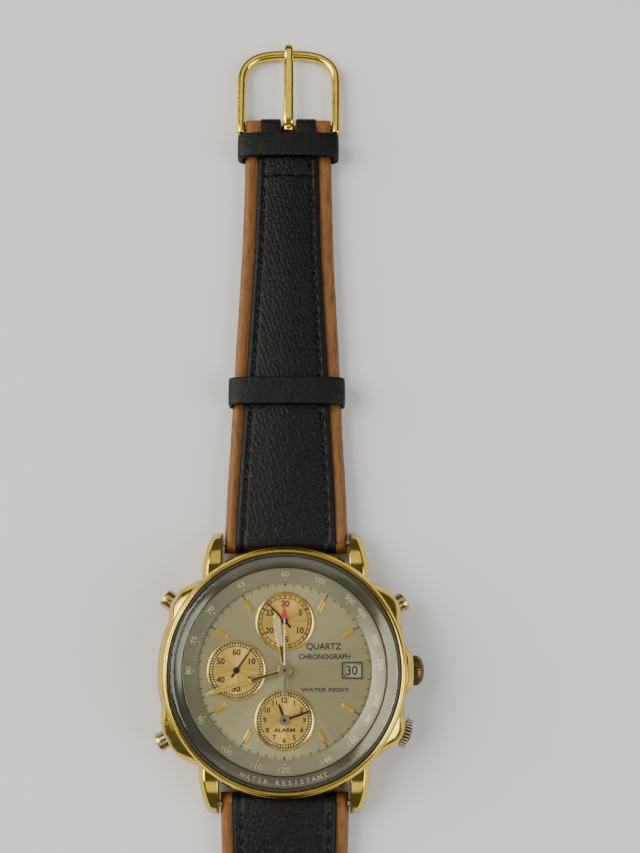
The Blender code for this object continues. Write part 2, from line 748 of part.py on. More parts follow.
def make_straps():
    for hour, way in ((12, 1), (6, -1)):
        bar = ((0, -11.3), (0.4, -11.3), (0.4, -10.1), (0.62, -10.1), (0.62, 10.1))
        bar += ((0.4, 10.1), (0.4, 11.3), (0, 11.3))
        place = along_x(way * BAR_Y, BAR_Z)
        add(f"spring_bar_{hour}", lathe(bar, 12), "steel", place)

    pivot = (0, BAR_Y, BAR_Z)
    near = lining(SHORT_ROWS, 1, BAR_Y, SHORT_FLEX_Y - SPLIT, rounded_start=True)
    near = add("strap_12_lining_near", near, "tan_leather", None, pivot)
    hole = cylinder(0.7, -12, 12, 12)
    cut(near, add("strap_12_bar_hole", hole, None, along_x(BAR_Y, BAR_Z)))
    pad = padding(SHORT_ROWS, 1, BAR_Y + 0.2, SHORT_FLEX_Y - SPLIT, short_margin)
    add("strap_12_padding_near", pad, "black_leather", None, pivot)

    pivot = (0, SHORT_FLEX_Y, 1.2)
    far = lining(SHORT_ROWS, 1, SHORT_FLEX_Y + SPLIT, BUCKLE_BAR_Y - 1.2, rounded_end=True)
    far = add("strap_12_lining_far", far, "tan_leather", None, pivot)
    hole = cylinder(0.62, -12, 12, 12)
    cut(far, add("buckle_bar_hole", hole, None, along_x(BUCKLE_BAR_Y, BUCKLE_BAR_Z)))
    slot_start = BUCKLE_BAR_Y - 1.9
    cut(far, add("tongue_slot", box(-1.25, slot_start, -1, 1.25, slot_start + 5, 5)))
    pad = padding(SHORT_ROWS, 1, SHORT_FLEX_Y + SPLIT, slot_start, short_margin)
    add("strap_12_padding_far", pad, "black_leather", None, pivot)

    pivot = (0, -BAR_Y, BAR_Z)
    near = lining(LONG_ROWS, -1, BAR_Y, LONG_FLEX_Y - SPLIT, rounded_start=True)
    near = add("strap_6_lining_near", near, "tan_leather", None, pivot)
    hole = cylinder(0.7, -12, 12, 12)
    cut(near, add("strap_6_bar_hole", hole, None, along_x(-BAR_Y, BAR_Z)))
    pad = padding(LONG_ROWS, -1, BAR_Y + 0.2, LONG_FLEX_Y - SPLIT, long_margin)
    add("strap_6_padding_near", pad, "black_leather", None, pivot)

    pivot = (0, -LONG_FLEX_Y, 0)
    far = lining(LONG_ROWS, -1, LONG_FLEX_Y + SPLIT, 135.3)
    far = add("strap_6_lining_far", far, "tan_leather", None, pivot)
    pad = padding(LONG_ROWS, -1, LONG_FLEX_Y + SPLIT, 132.6, long_margin)
    pad = add("strap_6_padding_far", pad, "black_leather", None, pivot)
    for index in range(7):
        y = -(90.0 + 5.5 * index)
        place = Matrix.Translation((0, y, 0))
        punch = add(f"strap_hole_{index + 1}", cylinder(0.95, -1, 5, 10), None, place)
        cut(far, punch)
        cut(pad, punch)


def keeper(name, y, width, inner, side, low, high, pivot):
    """A leather loop round the strap, a millimetre thick above and below, and `side` at the sides."""

    def loop(half, bottom, top, soft):
        return (
            (-half + soft, bottom),
            (half - soft, bottom),
            (half, bottom + soft),
            (half, top - soft),
            (half - soft, top),
            (-half + soft, top),
            (-half, top - soft),
            (-half, bottom + soft),
        )

    outline = loop(inner + side, low - 1.05, high + 0.95, 0.7)
    hollow = loop(inner, low, high, 0.25)
    turn = Matrix.Translation((0, y + width / 2, 0)) @ Matrix.Rotation(math.pi / 2, 4, "X")
    add(name, plate(outline, 0, width, [hollow]), "black_leather", turn, pivot)


FRAME_END_Y = 107.08
FRAME_SIDE = (
    (8.22, BUCKLE_BAR_Y - 1.2),
    (8.27, BUCKLE_BAR_Y),
    (8.3, 96.5),
    (8.3, 100.5),
    (8.25, 102.5),
    (7.98, 103.8),
    (7.4, 104.9),
    (6.4, 105.85),
    (4.9, 106.6),
    (2.7, 107.0),
)

# The tongue's arm: distance from the centre, half width, underside and top.
TONGUE_ROWS = (
    (93.5, 0.85, 2.05, 2.85),
    (95.1, 0.85, 2.15, 2.95),
    (101.6, 0.82, 2.0, 2.8),
    (104.6, 0.78, 1.95, 2.72),
    (105.7, 0.52, 1.92, 2.7),
    (106.4, 0.66, 1.9, 2.66),
    (108.0, 0.64, 1.9, 2.6),
    (108.9, 0.5, 1.3, 2.0),
)


def frame_section(point, along):
    """The frame's rounded section, lower and a little wider the further it is from the bar."""
    x, y = point
    share = max(0.0, (y - BUCKLE_BAR_Y) / (FRAME_END_Y - BUCKLE_BAR_Y))
    z = BUCKLE_BAR_Z - 0.85 * share
    half_width = 0.80 + 0.1 * share
    half_height = 1.06 - 0.11 * share
    side = Vector((along.y, -along.x, 0))
    ring = []
    for corner in range(8):
        turn = math.pi * (corner + 0.5) / 4
        centre = Vector((x, y, z + half_height * math.sin(turn)))
        ring.append(centre + side * half_width * math.cos(turn))
    return ring


def make_buckle():
    keeper("fixed_keeper", 88.8, 4.3, 7.75, 1.0, 1.10, 3.80, (0, SHORT_FLEX_Y, 1.2))
    keeper("sliding_keeper", 45.15, 4.6, 9.10, 0.5, 1.10, 4.85, (0, 45.15, 0))

    pivot = (0, BUCKLE_BAR_Y, BUCKLE_BAR_Z)
    place = along_x(BUCKLE_BAR_Y, BUCKLE_BAR_Z)
    add("buckle_spring_bar", cylinder(0.55, -8.4, 8.4, 12), "steel", place, pivot)

    path = [*FRAME_SIDE, (0.0, FRAME_END_Y)]
    path += [(-x, y) for x, y in reversed(FRAME_SIDE)]
    sections = []
    for index, point in enumerate(path):
        before = path[max(0, index - 1)]
        after = path[min(len(path) - 1, index + 1)]
        along = Vector((after[0] - before[0], after[1] - before[1], 0)).normalized()
        sections.append(frame_section(point, along))
    frame = add("buckle_frame", loft(sections), "buckle_gold", None, pivot)
    cut(frame, add("buckle_frame_holes", cylinder(0.6, -8.5, 8.5, 12), None, place, pivot))

    knuckle = ((0.6, -1.05), (1.3, -1.05), (1.3, 1.05), (0.6, 1.05))
    tongue = add("buckle_tongue", lathe(knuckle, 12), "buckle_gold", place, pivot)
    arm = []
    for y, half, low, high in TONGUE_ROWS:
        top = half * 0.8
        arm.append([(-half, y, low), (half, y, low), (top, y, high), (-top, y, high)])
    join(tongue, add("buckle_tongue_arm", loft(arm), None, None, pivot))


clear_scene()
make_case()
make_controls()
make_train()
make_movement()
make_dial()
make_hands()
make_straps()
make_buckle()
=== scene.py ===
"""Looks of the quartz alarm chronograph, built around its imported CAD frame.

Shapes are written in millimetres in the row frame: the watch lies on its case back, +Z points
out of the dial, +Y to 12 o'clock and +X to 3 o'clock. Angles round the dial are in degrees
clockwise from 12.
"""

import math

import bmesh
import bpy
import numpy as np
from mathutils import Matrix, Vector


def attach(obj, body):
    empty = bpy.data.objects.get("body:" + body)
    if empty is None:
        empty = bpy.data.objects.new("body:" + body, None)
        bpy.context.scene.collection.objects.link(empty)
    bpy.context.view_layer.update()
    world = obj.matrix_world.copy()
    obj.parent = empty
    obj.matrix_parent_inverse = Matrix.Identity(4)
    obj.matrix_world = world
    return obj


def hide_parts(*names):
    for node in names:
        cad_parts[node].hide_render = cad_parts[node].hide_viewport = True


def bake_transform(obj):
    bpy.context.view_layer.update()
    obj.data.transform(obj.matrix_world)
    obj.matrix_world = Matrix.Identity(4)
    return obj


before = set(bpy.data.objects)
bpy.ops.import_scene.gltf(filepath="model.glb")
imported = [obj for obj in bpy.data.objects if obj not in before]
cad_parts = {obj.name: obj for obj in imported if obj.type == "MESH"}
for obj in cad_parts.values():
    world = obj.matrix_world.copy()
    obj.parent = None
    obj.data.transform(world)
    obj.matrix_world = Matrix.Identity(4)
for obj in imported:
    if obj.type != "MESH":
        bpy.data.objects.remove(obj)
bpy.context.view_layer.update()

MM = 0.001
PER_METRE = 1000.0
FINE = 240
PRINT_THICK = 0.016
CAPITAL_SHARE = 0.72
ROUND = 128
SUBDIAL = 7.55
STEM_Z = 3.9
BAR_Y, BAR_Z = 20.3, 2.9
BUCKLE_BAR_Y, BUCKLE_BAR_Z = 92.8, 1.75


# ---------------------------------------------------------------- node materials


class Nodes:
    """A Principled material whose inputs are driven by procedural nodes."""

    def __init__(self, name, **values):
        self.material = bpy.data.materials.new(name)
        self.material.use_nodes = True
        self.tree = self.material.node_tree
        self.shader = self.tree.nodes["Principled BSDF"]
        for key, value in values.items():
            self.set(key.replace("_", " "), value)

    def feed(self, socket, value):
        """Links a node's output to the socket, or sets the socket to a plain value."""
        if isinstance(value, bpy.types.NodeSocket):
            self.tree.links.new(value, socket)
        elif socket.type == "RGBA":
            socket.default_value = (*value, 1.0)
        else:
            socket.default_value = value

    def set(self, name, value):
        self.feed(self.shader.inputs[name], value)

    def node(self, kind, inputs=None, **settings):
        made = self.tree.nodes.new(kind)
        for key, value in settings.items():
            setattr(made, key, value)
        for key, value in (inputs or {}).items():
            self.feed(made.inputs[key], value)
        return made

    def place(self, stretch=(1.0, 1.0, 1.0)):
        """Object coordinates in millimetres, stretched along each axis."""
        spot = self.node("ShaderNodeTexCoord").outputs["Object"]
        scale = tuple(PER_METRE / s for s in stretch)
        return self.node("ShaderNodeMapping", {"Vector": spot, "Scale": scale}).outputs[0]

    def noise(self, where, size, detail=3.0, roughness=0.55):
        """Noise whose blobs are about `size` millimetres."""
        inputs = {"Vector": where, "Scale": 1.0 / size, "Detail": detail, "Roughness": roughness}
        return self.node("ShaderNodeTexNoise", inputs).outputs["Fac"]

    def ramp(self, value, low, high, start=0.0, end=1.0):
        """Maps value from start..end to low..high, held at the ends."""
        inputs = {"Value": value, "From Min": start, "From Max": end, "To Min": low, "To Max": high}
        return self.node("ShaderNodeMapRange", inputs).outputs["Result"]

    def blend(self, share, first, second):
        """Mixes two colours. The mix node's colour sockets are its inputs 6 and 7 and output 2."""
        inputs = {"Factor": share, 6: first, 7: second}
        return self.node("ShaderNodeMix", inputs, data_type="RGBA").outputs[2]

    def tint(self, pattern, first, second):
        """Colours the surface from first to second as the pattern rises."""
        self.set("Base Color", self.blend(self.ramp(pattern, 0.0, 1.0, 0.3, 0.7), first, second))

    def sum(self, first, second, operation="ADD"):
        return self.node("ShaderNodeMath", {0: first, 1: second}, operation=operation).outputs[0]

    def bump(self, height, depth, strength=1.0):
        """depth is in millimetres for a height of one."""
        inputs = {"Height": height, "Distance": depth * MM, "Strength": strength}
        self.set("Normal", self.node("ShaderNodeBump", inputs).outputs["Normal"])


def metal(name, colour, tarnish, roughness, wear=None, scratch=0.004):
    """Polished metal with cloudy tarnish, hairline scratches and, where painted, plating worn off."""
    m = Nodes(name, Metallic=1.0)
    spot = m.place()
    cloud = m.noise(spot, 2.6, 4.0)
    skin = m.blend(m.ramp(cloud, 0.0, 1.0, 0.35, 0.7), colour, tarnish)
    hair_a = m.noise(m.place((0.05, 2.2, 0.3)), 1.0, 2.0)
    hair_b = m.noise(m.place((1.9, 0.06, 0.3)), 1.0, 2.0)
    hair = m.sum(hair_a, hair_b)
    rough = m.ramp(m.noise(spot, 0.9, 5.0), roughness, roughness * 1.9, 0.3, 0.75)
    rough = m.sum(rough, m.ramp(hair, 0.0, 0.07, 1.1, 1.4))
    if wear:
        painted = m.node("ShaderNodeAttribute", attribute_name="wear").outputs["Fac"]
        patch = m.sum(painted, m.ramp(m.noise(spot, 0.55, 6.0, 0.7), -0.45, 0.45, 0.3, 0.7))
        share = m.ramp(patch, 0.0, 1.0, 0.42, 0.66)
        skin = m.blend(share, skin, wear)
        rough = m.sum(rough, m.ramp(share, 0.0, 0.14))
    m.set("Base Color", skin)
    m.set("Roughness", rough)
    m.bump(hair, scratch)
    return m.material


def mirror(name, colour, other, roughness, scratch):
    """Even, glossy plated metal with only a faint cloud."""
    m = Nodes(name, Metallic=0.55, Specular_IOR_Level=0.6)
    spot = m.place()
    cloud = m.noise(spot, 5.0, 2.0)
    fine = m.noise(spot, 1.2, 3.0)
    m.tint(cloud, colour, other)
    m.set("Roughness", m.ramp(fine, roughness, roughness * 1.15, 0.3, 0.75))
    m.bump(fine, scratch)
    return m.material


def satin_gold(name, colour, other, roughness):
    """Thin gold lacquer over brass: part metal, part paint, so it never looks black."""
    m = Nodes(name, Metallic=0.72, Specular_IOR_Level=0.5)
    spot = m.place()
    cloud = m.noise(spot, 0.8, 3.0)
    m.tint(cloud, colour, other)
    m.set("Roughness", m.ramp(m.noise(spot, 0.2, 3.0), roughness * 0.85, roughness * 1.2, 0.3, 0.7))
    m.bump(cloud, 0.003)
    return m.material


def brushed(name, colour, dark, roughness, stretch, depth=0.01):
    """Satin metal with brushing lines along one axis."""
    m = Nodes(name, Metallic=1.0)
    lines = m.noise(m.place(stretch), 1.0, 4.0, 0.7)
    m.tint(lines, dark, colour)
    m.set("Roughness", m.ramp(lines, roughness, roughness * 1.5, 0.3, 0.7))
    m.bump(lines, depth)
    return m.material


def plain(name, colour, other, roughness, size=0.6, depth=0.01, **values):
    """Moulded, printed or painted stuff: fine mottling in colour, gloss and surface."""
    m = Nodes(name, **values)
    spot = m.place()
    cloud = m.noise(spot, size, 5.0, 0.6)
    m.tint(cloud, colour, other)
    m.set("Roughness", m.ramp(m.noise(spot, size * 0.3, 3.0), roughness * 0.8, roughness * 1.2, 0.3, 0.7))
    m.bump(cloud, depth)
    return m.material


def sunray(name, light, dark, roughness, metallic, streaks, depth):
    """A satin face brushed outward from its middle, its bright and dark sunray sectors painted into the
    colour as painted reflection.
    """
    m = Nodes(name, Metallic=metallic, Anisotropic=0.55)
    m.set("Tangent", m.node("ShaderNodeTangent", direction_type="RADIAL", axis="Z").outputs[0])
    spot = m.node("ShaderNodeTexCoord").outputs["Generated"]
    flat = {"Vector": spot, "Location": (-0.5, -0.5, 0.0), "Scale": (1.0, 1.0, 0.0)}
    flat = m.node("ShaderNodeMapping", flat).outputs[0]
    way = m.node("ShaderNodeVectorMath", {0: flat}, operation="NORMALIZE").outputs[0]
    # Broad wedges round the middle are painted reflection: the sunray's bright and dark sectors put into
    # the base colour. The fine streaks are the brushing.
    sheen_wedges = m.noise(way, 1.0 / streaks[0], 2.0)
    fine = m.noise(way, 1.0 / streaks[1], 4.0, 0.8)
    both = m.sum(m.ramp(sheen_wedges, 0.0, 0.7, 0.3, 0.7), m.ramp(fine, 0.0, 0.3, 0.3, 0.7))
    m.set("Base Color", m.blend(both, dark, light))
    m.set("Roughness", m.ramp(fine, roughness * 0.8, roughness * 1.3, 0.3, 0.7))
    m.bump(fine, depth)
    return m.material


def circular(name, light, dark, roughness):
    """Metal turned on a lathe: fine rings about the watch's axis."""
    m = Nodes(name, Metallic=1.0)
    spot = m.place()
    flat = m.node("ShaderNodeVectorMath", {0: spot, 1: (1.0, 1.0, 0.0)}, operation="MULTIPLY")
    far = m.node("ShaderNodeVectorMath", {0: flat.outputs[0]}, operation="LENGTH").outputs["Value"]
    rings = m.node("ShaderNodeTexNoise", {"W": far, "Scale": 9.0, "Detail": 4.0}, noise_dimensions="1D")
    rings = rings.outputs["Fac"]
    m.tint(rings, dark, light)
    m.set("Roughness", m.ramp(rings, roughness, roughness * 1.5, 0.3, 0.7))
    m.bump(rings, 0.012)
    return m.material


def black_leather(name, crease, gain=1.0):
    """Grained black leather: near-black, with the pebble crests painted paler as highlight and the gaps
    between them painted darker as shade, creases, soft sheen.
    """
    m = Nodes(name, Specular_IOR_Level=0.22)
    spot = m.place()
    cell = {"Vector": spot, "Scale": 1.7, "Smoothness": 0.6}
    cells = m.node("ShaderNodeTexVoronoi", cell, feature="SMOOTH_F1").outputs["Distance"]
    fine = m.noise(spot, 0.16, 4.0, 0.65)
    folds = m.noise(m.place(crease), 1.0, 5.0, 0.6)
    tone = m.sum(m.ramp(fine, 0.0, 0.5, 0.3, 0.7), m.ramp(folds, 0.0, 0.5, 0.3, 0.7))
    # Pebble crests get the paler colour as painted highlight, and the gaps between pebbles get the
    # near-black as painted shade.
    tone = m.sum(tone, m.ramp(cells, 1.0, 0.15, 0.15, 0.6), "MULTIPLY")
    skin = m.blend(tone, (0.0006, 0.0007, 0.0005), (0.0034 * gain, 0.0040 * gain, 0.0027 * gain))
    m.set("Base Color", skin)
    m.set("Roughness", m.ramp(m.sum(fine, folds), 0.38, 0.60, 0.7, 1.3))
    height = m.sum(m.ramp(cells, 0.55, 0.0, 0.0, 0.8), m.ramp(fine, 0.0, 0.5))
    m.bump(m.sum(height, m.ramp(folds, 0.0, 0.8)), 0.09, 0.9)
    return m.material


def tan_leather():
    """Waxed tan leather with creases along the strap and darker handling marks."""
    m = Nodes("tan_leather", Specular_IOR_Level=0.28)
    spot = m.place()
    folds = m.noise(m.place((0.35, 3.0, 0.6)), 1.0, 5.0, 0.65)
    stain = m.noise(m.place((1.0, 2.6, 1.0)), 1.6, 5.0, 0.7)
    pores = m.noise(spot, 0.14, 3.0, 0.6)
    skin = m.blend(m.ramp(folds, 0.0, 1.0, 0.32, 0.66), (0.110, 0.043, 0.010), (0.235, 0.098, 0.023))
    skin = m.blend(m.ramp(stain, 0.0, 0.50, 0.52, 0.74), skin, (0.050, 0.016, 0.003))
    skin = m.blend(m.ramp(pores, 0.45, 0.0, 0.25, 0.45), skin, (0.030, 0.010, 0.002))
    m.set("Base Color", skin)
    m.set("Roughness", m.ramp(m.sum(folds, pores), 0.36, 0.62, 0.7, 1.3))
    m.bump(m.sum(folds, m.ramp(pores, 0.0, 0.5)), 0.07, 0.8)
    return m.material


def thread_material():
    """Waxed black thread with the twist of its plies."""
    m = Nodes("black_thread", Specular_IOR_Level=0.25)
    ply = {"Vector": m.place(), "Scale": 0.9, "Distortion": 0.4}
    twist = m.node("ShaderNodeTexWave", ply, bands_direction="DIAGONAL").outputs["Fac"]
    m.set("Base Color", m.blend(twist, (0.0008, 0.0008, 0.0008), (0.004, 0.004, 0.0035)))
    m.set("Roughness", m.ramp(twist, 0.4, 0.65))
    m.bump(twist, 0.05)
    return m.material


GOLD = (0.74, 0.54, 0.10)
GOLD_DEEP = (0.56, 0.385, 0.055)
PALE_METAL = (0.52, 0.45, 0.29)
RECIPES = {
    "polished_gold": (metal, GOLD, GOLD_DEEP, 0.085, PALE_METAL),
    "case_gold": (metal, (0.62, 0.44, 0.085), (0.40, 0.265, 0.040), 0.12, PALE_METAL),
    "trim_gold": (metal, (0.88, 0.67, 0.19), (0.74, 0.53, 0.12), 0.16, None, 0.002),
    "baton_gold": (satin_gold, (0.92, 0.70, 0.17), (0.80, 0.56, 0.10), 0.20),
    "buckle_gold": (metal, (0.86, 0.64, 0.11), (0.72, 0.50, 0.07), 0.12, PALE_METAL),
    "worn_gold": (metal, (0.68, 0.50, 0.20), (0.46, 0.32, 0.11), 0.15, (0.62, 0.57, 0.44)),
    "old_brass": (metal, (0.20, 0.115, 0.036), (0.055, 0.032, 0.014), 0.24, (0.42, 0.27, 0.09)),
    "ridge_gold": (metal, (0.085, 0.060, 0.030), (0.045, 0.032, 0.018), 0.28, (0.70, 0.60, 0.40)),
    "hand_gold": (satin_gold, (0.88, 0.68, 0.19), (0.74, 0.54, 0.12), 0.24),
    "hand_rose": (satin_gold, (0.46, 0.39, 0.26), (0.38, 0.31, 0.20), 0.45),
    "hand_olive": (satin_gold, (0.27, 0.26, 0.165), (0.21, 0.20, 0.125), 0.36),
    # The neck of the hour and minute hands is a near-black gold: painted shade along the shaft.
    "hand_neck": (satin_gold, (0.15, 0.115, 0.035), (0.09, 0.068, 0.022), 0.30),
    "bead_gold": (satin_gold, (0.95, 0.74, 0.27), (0.86, 0.64, 0.20), 0.40),
    "steel": (brushed, (0.60, 0.60, 0.58), (0.42, 0.42, 0.41), 0.22, (0.08, 3.0, 0.08)),
    "turned_steel": (circular, (0.62, 0.61, 0.58), (0.44, 0.43, 0.41), 0.24),
    "brass": (brushed, (0.70, 0.52, 0.24), (0.54, 0.38, 0.16), 0.26, (0.1, 2.5, 0.1)),
    "copper": (brushed, (0.72, 0.32, 0.16), (0.38, 0.15, 0.07), 0.3, (2.0, 0.07, 2.0), 0.03),
    "flange_metal": (mirror, (0.100, 0.097, 0.058), (0.080, 0.077, 0.045), 0.14, 0.0005),
    "scale_metal": (mirror, (0.225, 0.215, 0.125), (0.185, 0.177, 0.102), 0.24, 0.0003),
    "dial_satin": (sunray, (0.335, 0.310, 0.155), (0.258, 0.238, 0.115), 0.42, 0.5, (2.2, 60.0), 0.004),
    "gold_sunray": (sunray, (0.98, 0.67, 0.155), (0.58, 0.335, 0.050), 0.34, 0.75, (3.2, 70.0), 0.006),
    "lume": (plain, (0.40, 0.39, 0.24), (0.33, 0.32, 0.19), 0.55, 0.12, 0.01),
    "print_black": (plain, (0.012, 0.011, 0.009), (0.03, 0.027, 0.02), 0.45, 0.1, 0.004),
    "print_gold": (satin_gold, (0.52, 0.47, 0.29), (0.42, 0.38, 0.22), 0.45),
    "red_paint": (plain, (0.42, 0.032, 0.014), (0.30, 0.020, 0.010), 0.45, 0.2, 0.006),
    "date_paper": (plain, (0.37, 0.36, 0.22), (0.33, 0.32, 0.19), 0.5, 0.15, 0.004),
    "date_border": (plain, (0.40, 0.39, 0.26), (0.34, 0.33, 0.22), 0.4, 0.15, 0.004),
    "plastic": (plain, (0.80, 0.79, 0.74), (0.74, 0.73, 0.68), 0.42, 0.5, 0.02),
    "rubber": (plain, (0.020, 0.020, 0.019), (0.035, 0.034, 0.032), 0.6, 0.2, 0.02),
    "seal": (plain, (0.035, 0.033, 0.024), (0.060, 0.056, 0.040), 0.35, 0.4, 0.01),
    "padding_leather": (black_leather, (0.9, 1.4, 1.0), 2.0),
    "keeper_leather": (black_leather, (2.4, 0.35, 0.8), 2.6),
}
LOOKS = {name: make(name, *values) for name, (make, *values) in RECIPES.items()}
LOOKS["black_paint"] = plain(
    "black_paint", (0.004, 0.0035, 0.0035), (0.011, 0.009, 0.008), 0.6, 0.2, 0.006,
    Specular_IOR_Level=0.25
)
LOOKS["board"] = plain("board", (0.03, 0.14, 0.06), (0.05, 0.22, 0.10), 0.38, 1.4, 0.04, Coat_Weight=0.2)
LOOKS["tan_leather"] = tan_leather()
LOOKS["thread"] = thread_material()


def glass_material():
    """A clear mineral crystal: it only mirrors a little and lets the rest through."""
    m = Nodes("clear_glass", Metallic=1.0, Alpha=0.035)
    smear = m.noise(m.place(), 6.0, 4.0)
    m.tint(smear, (0.84, 0.88, 0.84), (0.92, 0.94, 0.92))
    m.set("Roughness", m.ramp(smear, 0.02, 0.06, 0.4, 0.7))
    return m.material


LOOKS["glass"] = glass_material()


# ---------------------------------------------------------------- mesh tools


def finish(name, mesh, look, body, replaces=(), sharp=32.0, wear=None):
    """Turns a mesh in millimetres into a piece of the watch that rides on a body."""
    if isinstance(mesh, bmesh.types.BMesh):
        bmesh.ops.recalc_face_normals(mesh, faces=mesh.faces)
        made = bpy.data.meshes.new(name)
        mesh.to_mesh(made)
        mesh.free()
        mesh = made
    mesh.name = name
    if wear:
        spots = np.empty(len(mesh.vertices) * 3, np.float32)
        mesh.vertices.foreach_get("co", spots)
        values = np.clip(wear(spots.reshape(-1, 3)), 0.0, 1.0).astype(np.float32)
        mesh.attributes.new("wear", "FLOAT", "POINT").data.foreach_set("value", values)
    mesh.transform(Matrix.Scale(MM, 4))
    mesh.materials.clear()
    mesh.materials.append(LOOKS[look])
    mesh.shade_smooth()
    mesh.set_sharp_from_angle(angle=math.radians(sharp))
    obj = bpy.data.objects.new(name, mesh)
    bpy.context.scene.collection.objects.link(obj)
    if body:
        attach(obj, body)
    if replaces:
        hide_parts(*replaces)
    return obj


def tube_grid(bm, loops, closed=False):
    """Joins closed loops of points into a skin, with end caps or round on itself."""
    rings = [[bm.verts.new(point) for point in loop] for loop in loops]
    pairs = list(zip(rings, rings[1:]))
    if closed:
        pairs.append((rings[-1], rings[0]))
    count = len(loops[0])
    for first, second in pairs:
        for index in range(count):
            after = (index + 1) % count
            bm.faces.new((first[index], first[after], second[after], second[index]))
    if not closed:
        bm.faces.new(rings[0])
        bm.faces.new(rings[-1])
    return bm


def lathe(profile, sides=ROUND, matrix=None, bm=None, flutes=None):
    """Turns (radius, height) points about Z. profile may be a function of the turn in radians."""
    bm = bm or bmesh.new()
    start = len(bm.verts)
    poles = {}
    columns = []
    for side in range(sides):
        turn = 2 * math.pi * side / sides
        column = []
        for index, (radius, height) in enumerate(profile(turn) if callable(profile) else profile):
            if radius == 0:
                if index not in poles:
                    poles[index] = bm.verts.new((0, 0, height))
                column.append(poles[index])
                continue
            reach = flutes(turn, radius, height) if flutes else radius
            column.append(bm.verts.new((reach * math.sin(turn), reach * math.cos(turn), height)))
        columns.append(column)
    count = len(columns[0])
    bm.verts.ensure_lookup_table()
    around = 0 in poles and count - 1 in poles
    for side in range(sides):
        here, there = columns[side], columns[(side + 1) % sides]
        for index in range(count - 1 if around else count):
            after = (index + 1) % count
            corners = []
            for vert in (here[index], here[after], there[after], there[index]):
                if vert not in corners:
                    corners.append(vert)
            if len(corners) > 2:
                bm.faces.new(corners)
    if matrix is not None:
        bm.verts.ensure_lookup_table()
        bmesh.ops.transform(bm, matrix=matrix, verts=bm.verts[start:])
    return bm


def rounded(points, radius, steps=4):
    """Rounds the corners of an open (radius, height) profile, leaving its ends."""
    result = [points[0]]
    for before, here, after in zip(points, points[1:], points[2:]):
        p, a, b = Vector(here), Vector(before), Vector(after)
        back, onward = a - p, b - p
        size = min(radius, back.length * 0.45, onward.length * 0.45)
        if size < 0.008 or back.length < 1e-6 or onward.length < 1e-6:
            result.append(tuple(here))
            continue
        start, end = p + back.normalized() * size, p + onward.normalized() * size
        for step in range(steps + 1):
            t = step / steps
            result.append(tuple(start.lerp(p, t).lerp(p.lerp(end, t), t)))
    result.append(points[-1])
    return result


def rounded_loop(points, radius, steps=4):
    """Rounds every corner of a closed outline."""
    closed = [points[-1], *points, points[0]]
    return rounded(closed, radius, steps)[1:-1]


def slab(bm, outline, low, high, holes=(), bevel=0.0):
    """A flat plate with an optional rounded top edge."""
    part = bmesh.new()
    edges = []
    for loop in (outline, *holes):
        verts = [part.verts.new((x, y, low)) for x, y in loop]
        for index, vert in enumerate(verts):
            edges.append(part.edges.new((vert, verts[(index + 1) % len(verts)])))
    bmesh.ops.triangle_fill(part, use_beauty=True, edges=edges)
    base = list(part.faces)
    raised = bmesh.ops.extrude_face_region(part, geom=base)
    verts = [item for item in raised["geom"] if isinstance(item, bmesh.types.BMVert)]
    bmesh.ops.translate(part, vec=(0, 0, high - low), verts=verts)
    bmesh.ops.recalc_face_normals(part, faces=part.faces)
    if bevel:
        bmesh.ops.dissolve_limit(part, angle_limit=0.01, verts=part.verts, edges=part.edges)
        rim = [
            e
            for e in part.edges
            if len(e.link_faces) == 2
            and all(abs(v.co.z - high) < 1e-6 for v in e.verts)
            and e.calc_face_angle(0) > 1.0
        ]
        bmesh.ops.bevel(part, geom=rim, offset=bevel, segments=2, profile=0.5, affect="EDGES")
    merge(bm, part)


def merge(bm, part, matrix=None):
    if matrix is not None:
        bmesh.ops.transform(part, matrix=matrix, verts=part.verts)
    carrier = bpy.data.meshes.new("carrier")
    part.to_mesh(carrier)
    part.free()
    bm.from_mesh(carrier)
    bpy.data.meshes.remove(carrier)
    return bm


def circle(radius, sides=ROUND, centre=(0.0, 0.0)):
    turns = [2 * math.pi * side / sides for side in range(sides)]
    return [(centre[0] + radius * math.sin(t), centre[1] + radius * math.cos(t)) for t in turns]


def turned(points, angle, centre=(0.0, 0.0)):
    """Turns flat points clockwise about the origin, then moves them to the centre."""
    t = math.radians(angle)
    c, s = math.cos(t), math.sin(t)
    return [(centre[0] + x * c + y * s, centre[1] - x * s + y * c) for x, y in points]


def rectangle(x0, y0, x1, y1):
    return [(x0, y0), (x1, y0), (x1, y1), (x0, y1)]


def polar(radius, angle, centre=(0.0, 0.0)):
    t = math.radians(angle)
    return centre[0] + radius * math.sin(t), centre[1] + radius * math.cos(t)


def write(bm, words, height, at, z, angle=0.0, width=None, weight=0.0):
    """Adds flat lettering, its capitals `height` tall, centred at a point and turned clockwise."""
    curve = bpy.data.curves.new("lettering", "FONT")
    curve.body = words
    curve.size = height / CAPITAL_SHARE
    curve.align_x = "CENTER"
    curve.align_y = "CENTER"
    curve.extrude = PRINT_THICK / 2
    curve.offset = weight
    curve.resolution_u = 3
    holder = bpy.data.objects.new("lettering", curve)
    bpy.context.scene.collection.objects.link(holder)
    graph = bpy.context.evaluated_depsgraph_get()
    mesh = bpy.data.meshes.new_from_object(holder.evaluated_get(graph))
    bpy.data.objects.remove(holder)
    bpy.data.curves.remove(curve)
    xs = [v.co.x for v in mesh.vertices]
    ys = [v.co.y for v in mesh.vertices]
    middle = Matrix.Translation((-(min(xs) + max(xs)) / 2, -(min(ys) + max(ys)) / 2, 0))
    squeeze = width / (max(xs) - min(xs)) if width else 1.0
    scale = Matrix.Diagonal((squeeze, 1.0, 1.0, 1.0))
    turn = Matrix.Rotation(-math.radians(angle), 4, "Z")
    mesh.transform(Matrix.Translation((at[0], at[1], z)) @ turn @ scale @ middle)
    start = len(bm.verts)
    bm.from_mesh(mesh)
    bpy.data.meshes.remove(mesh)
    bm.verts.ensure_lookup_table()
    bmesh.ops.remove_doubles(bm, verts=bm.verts[start:], dist=1e-4)


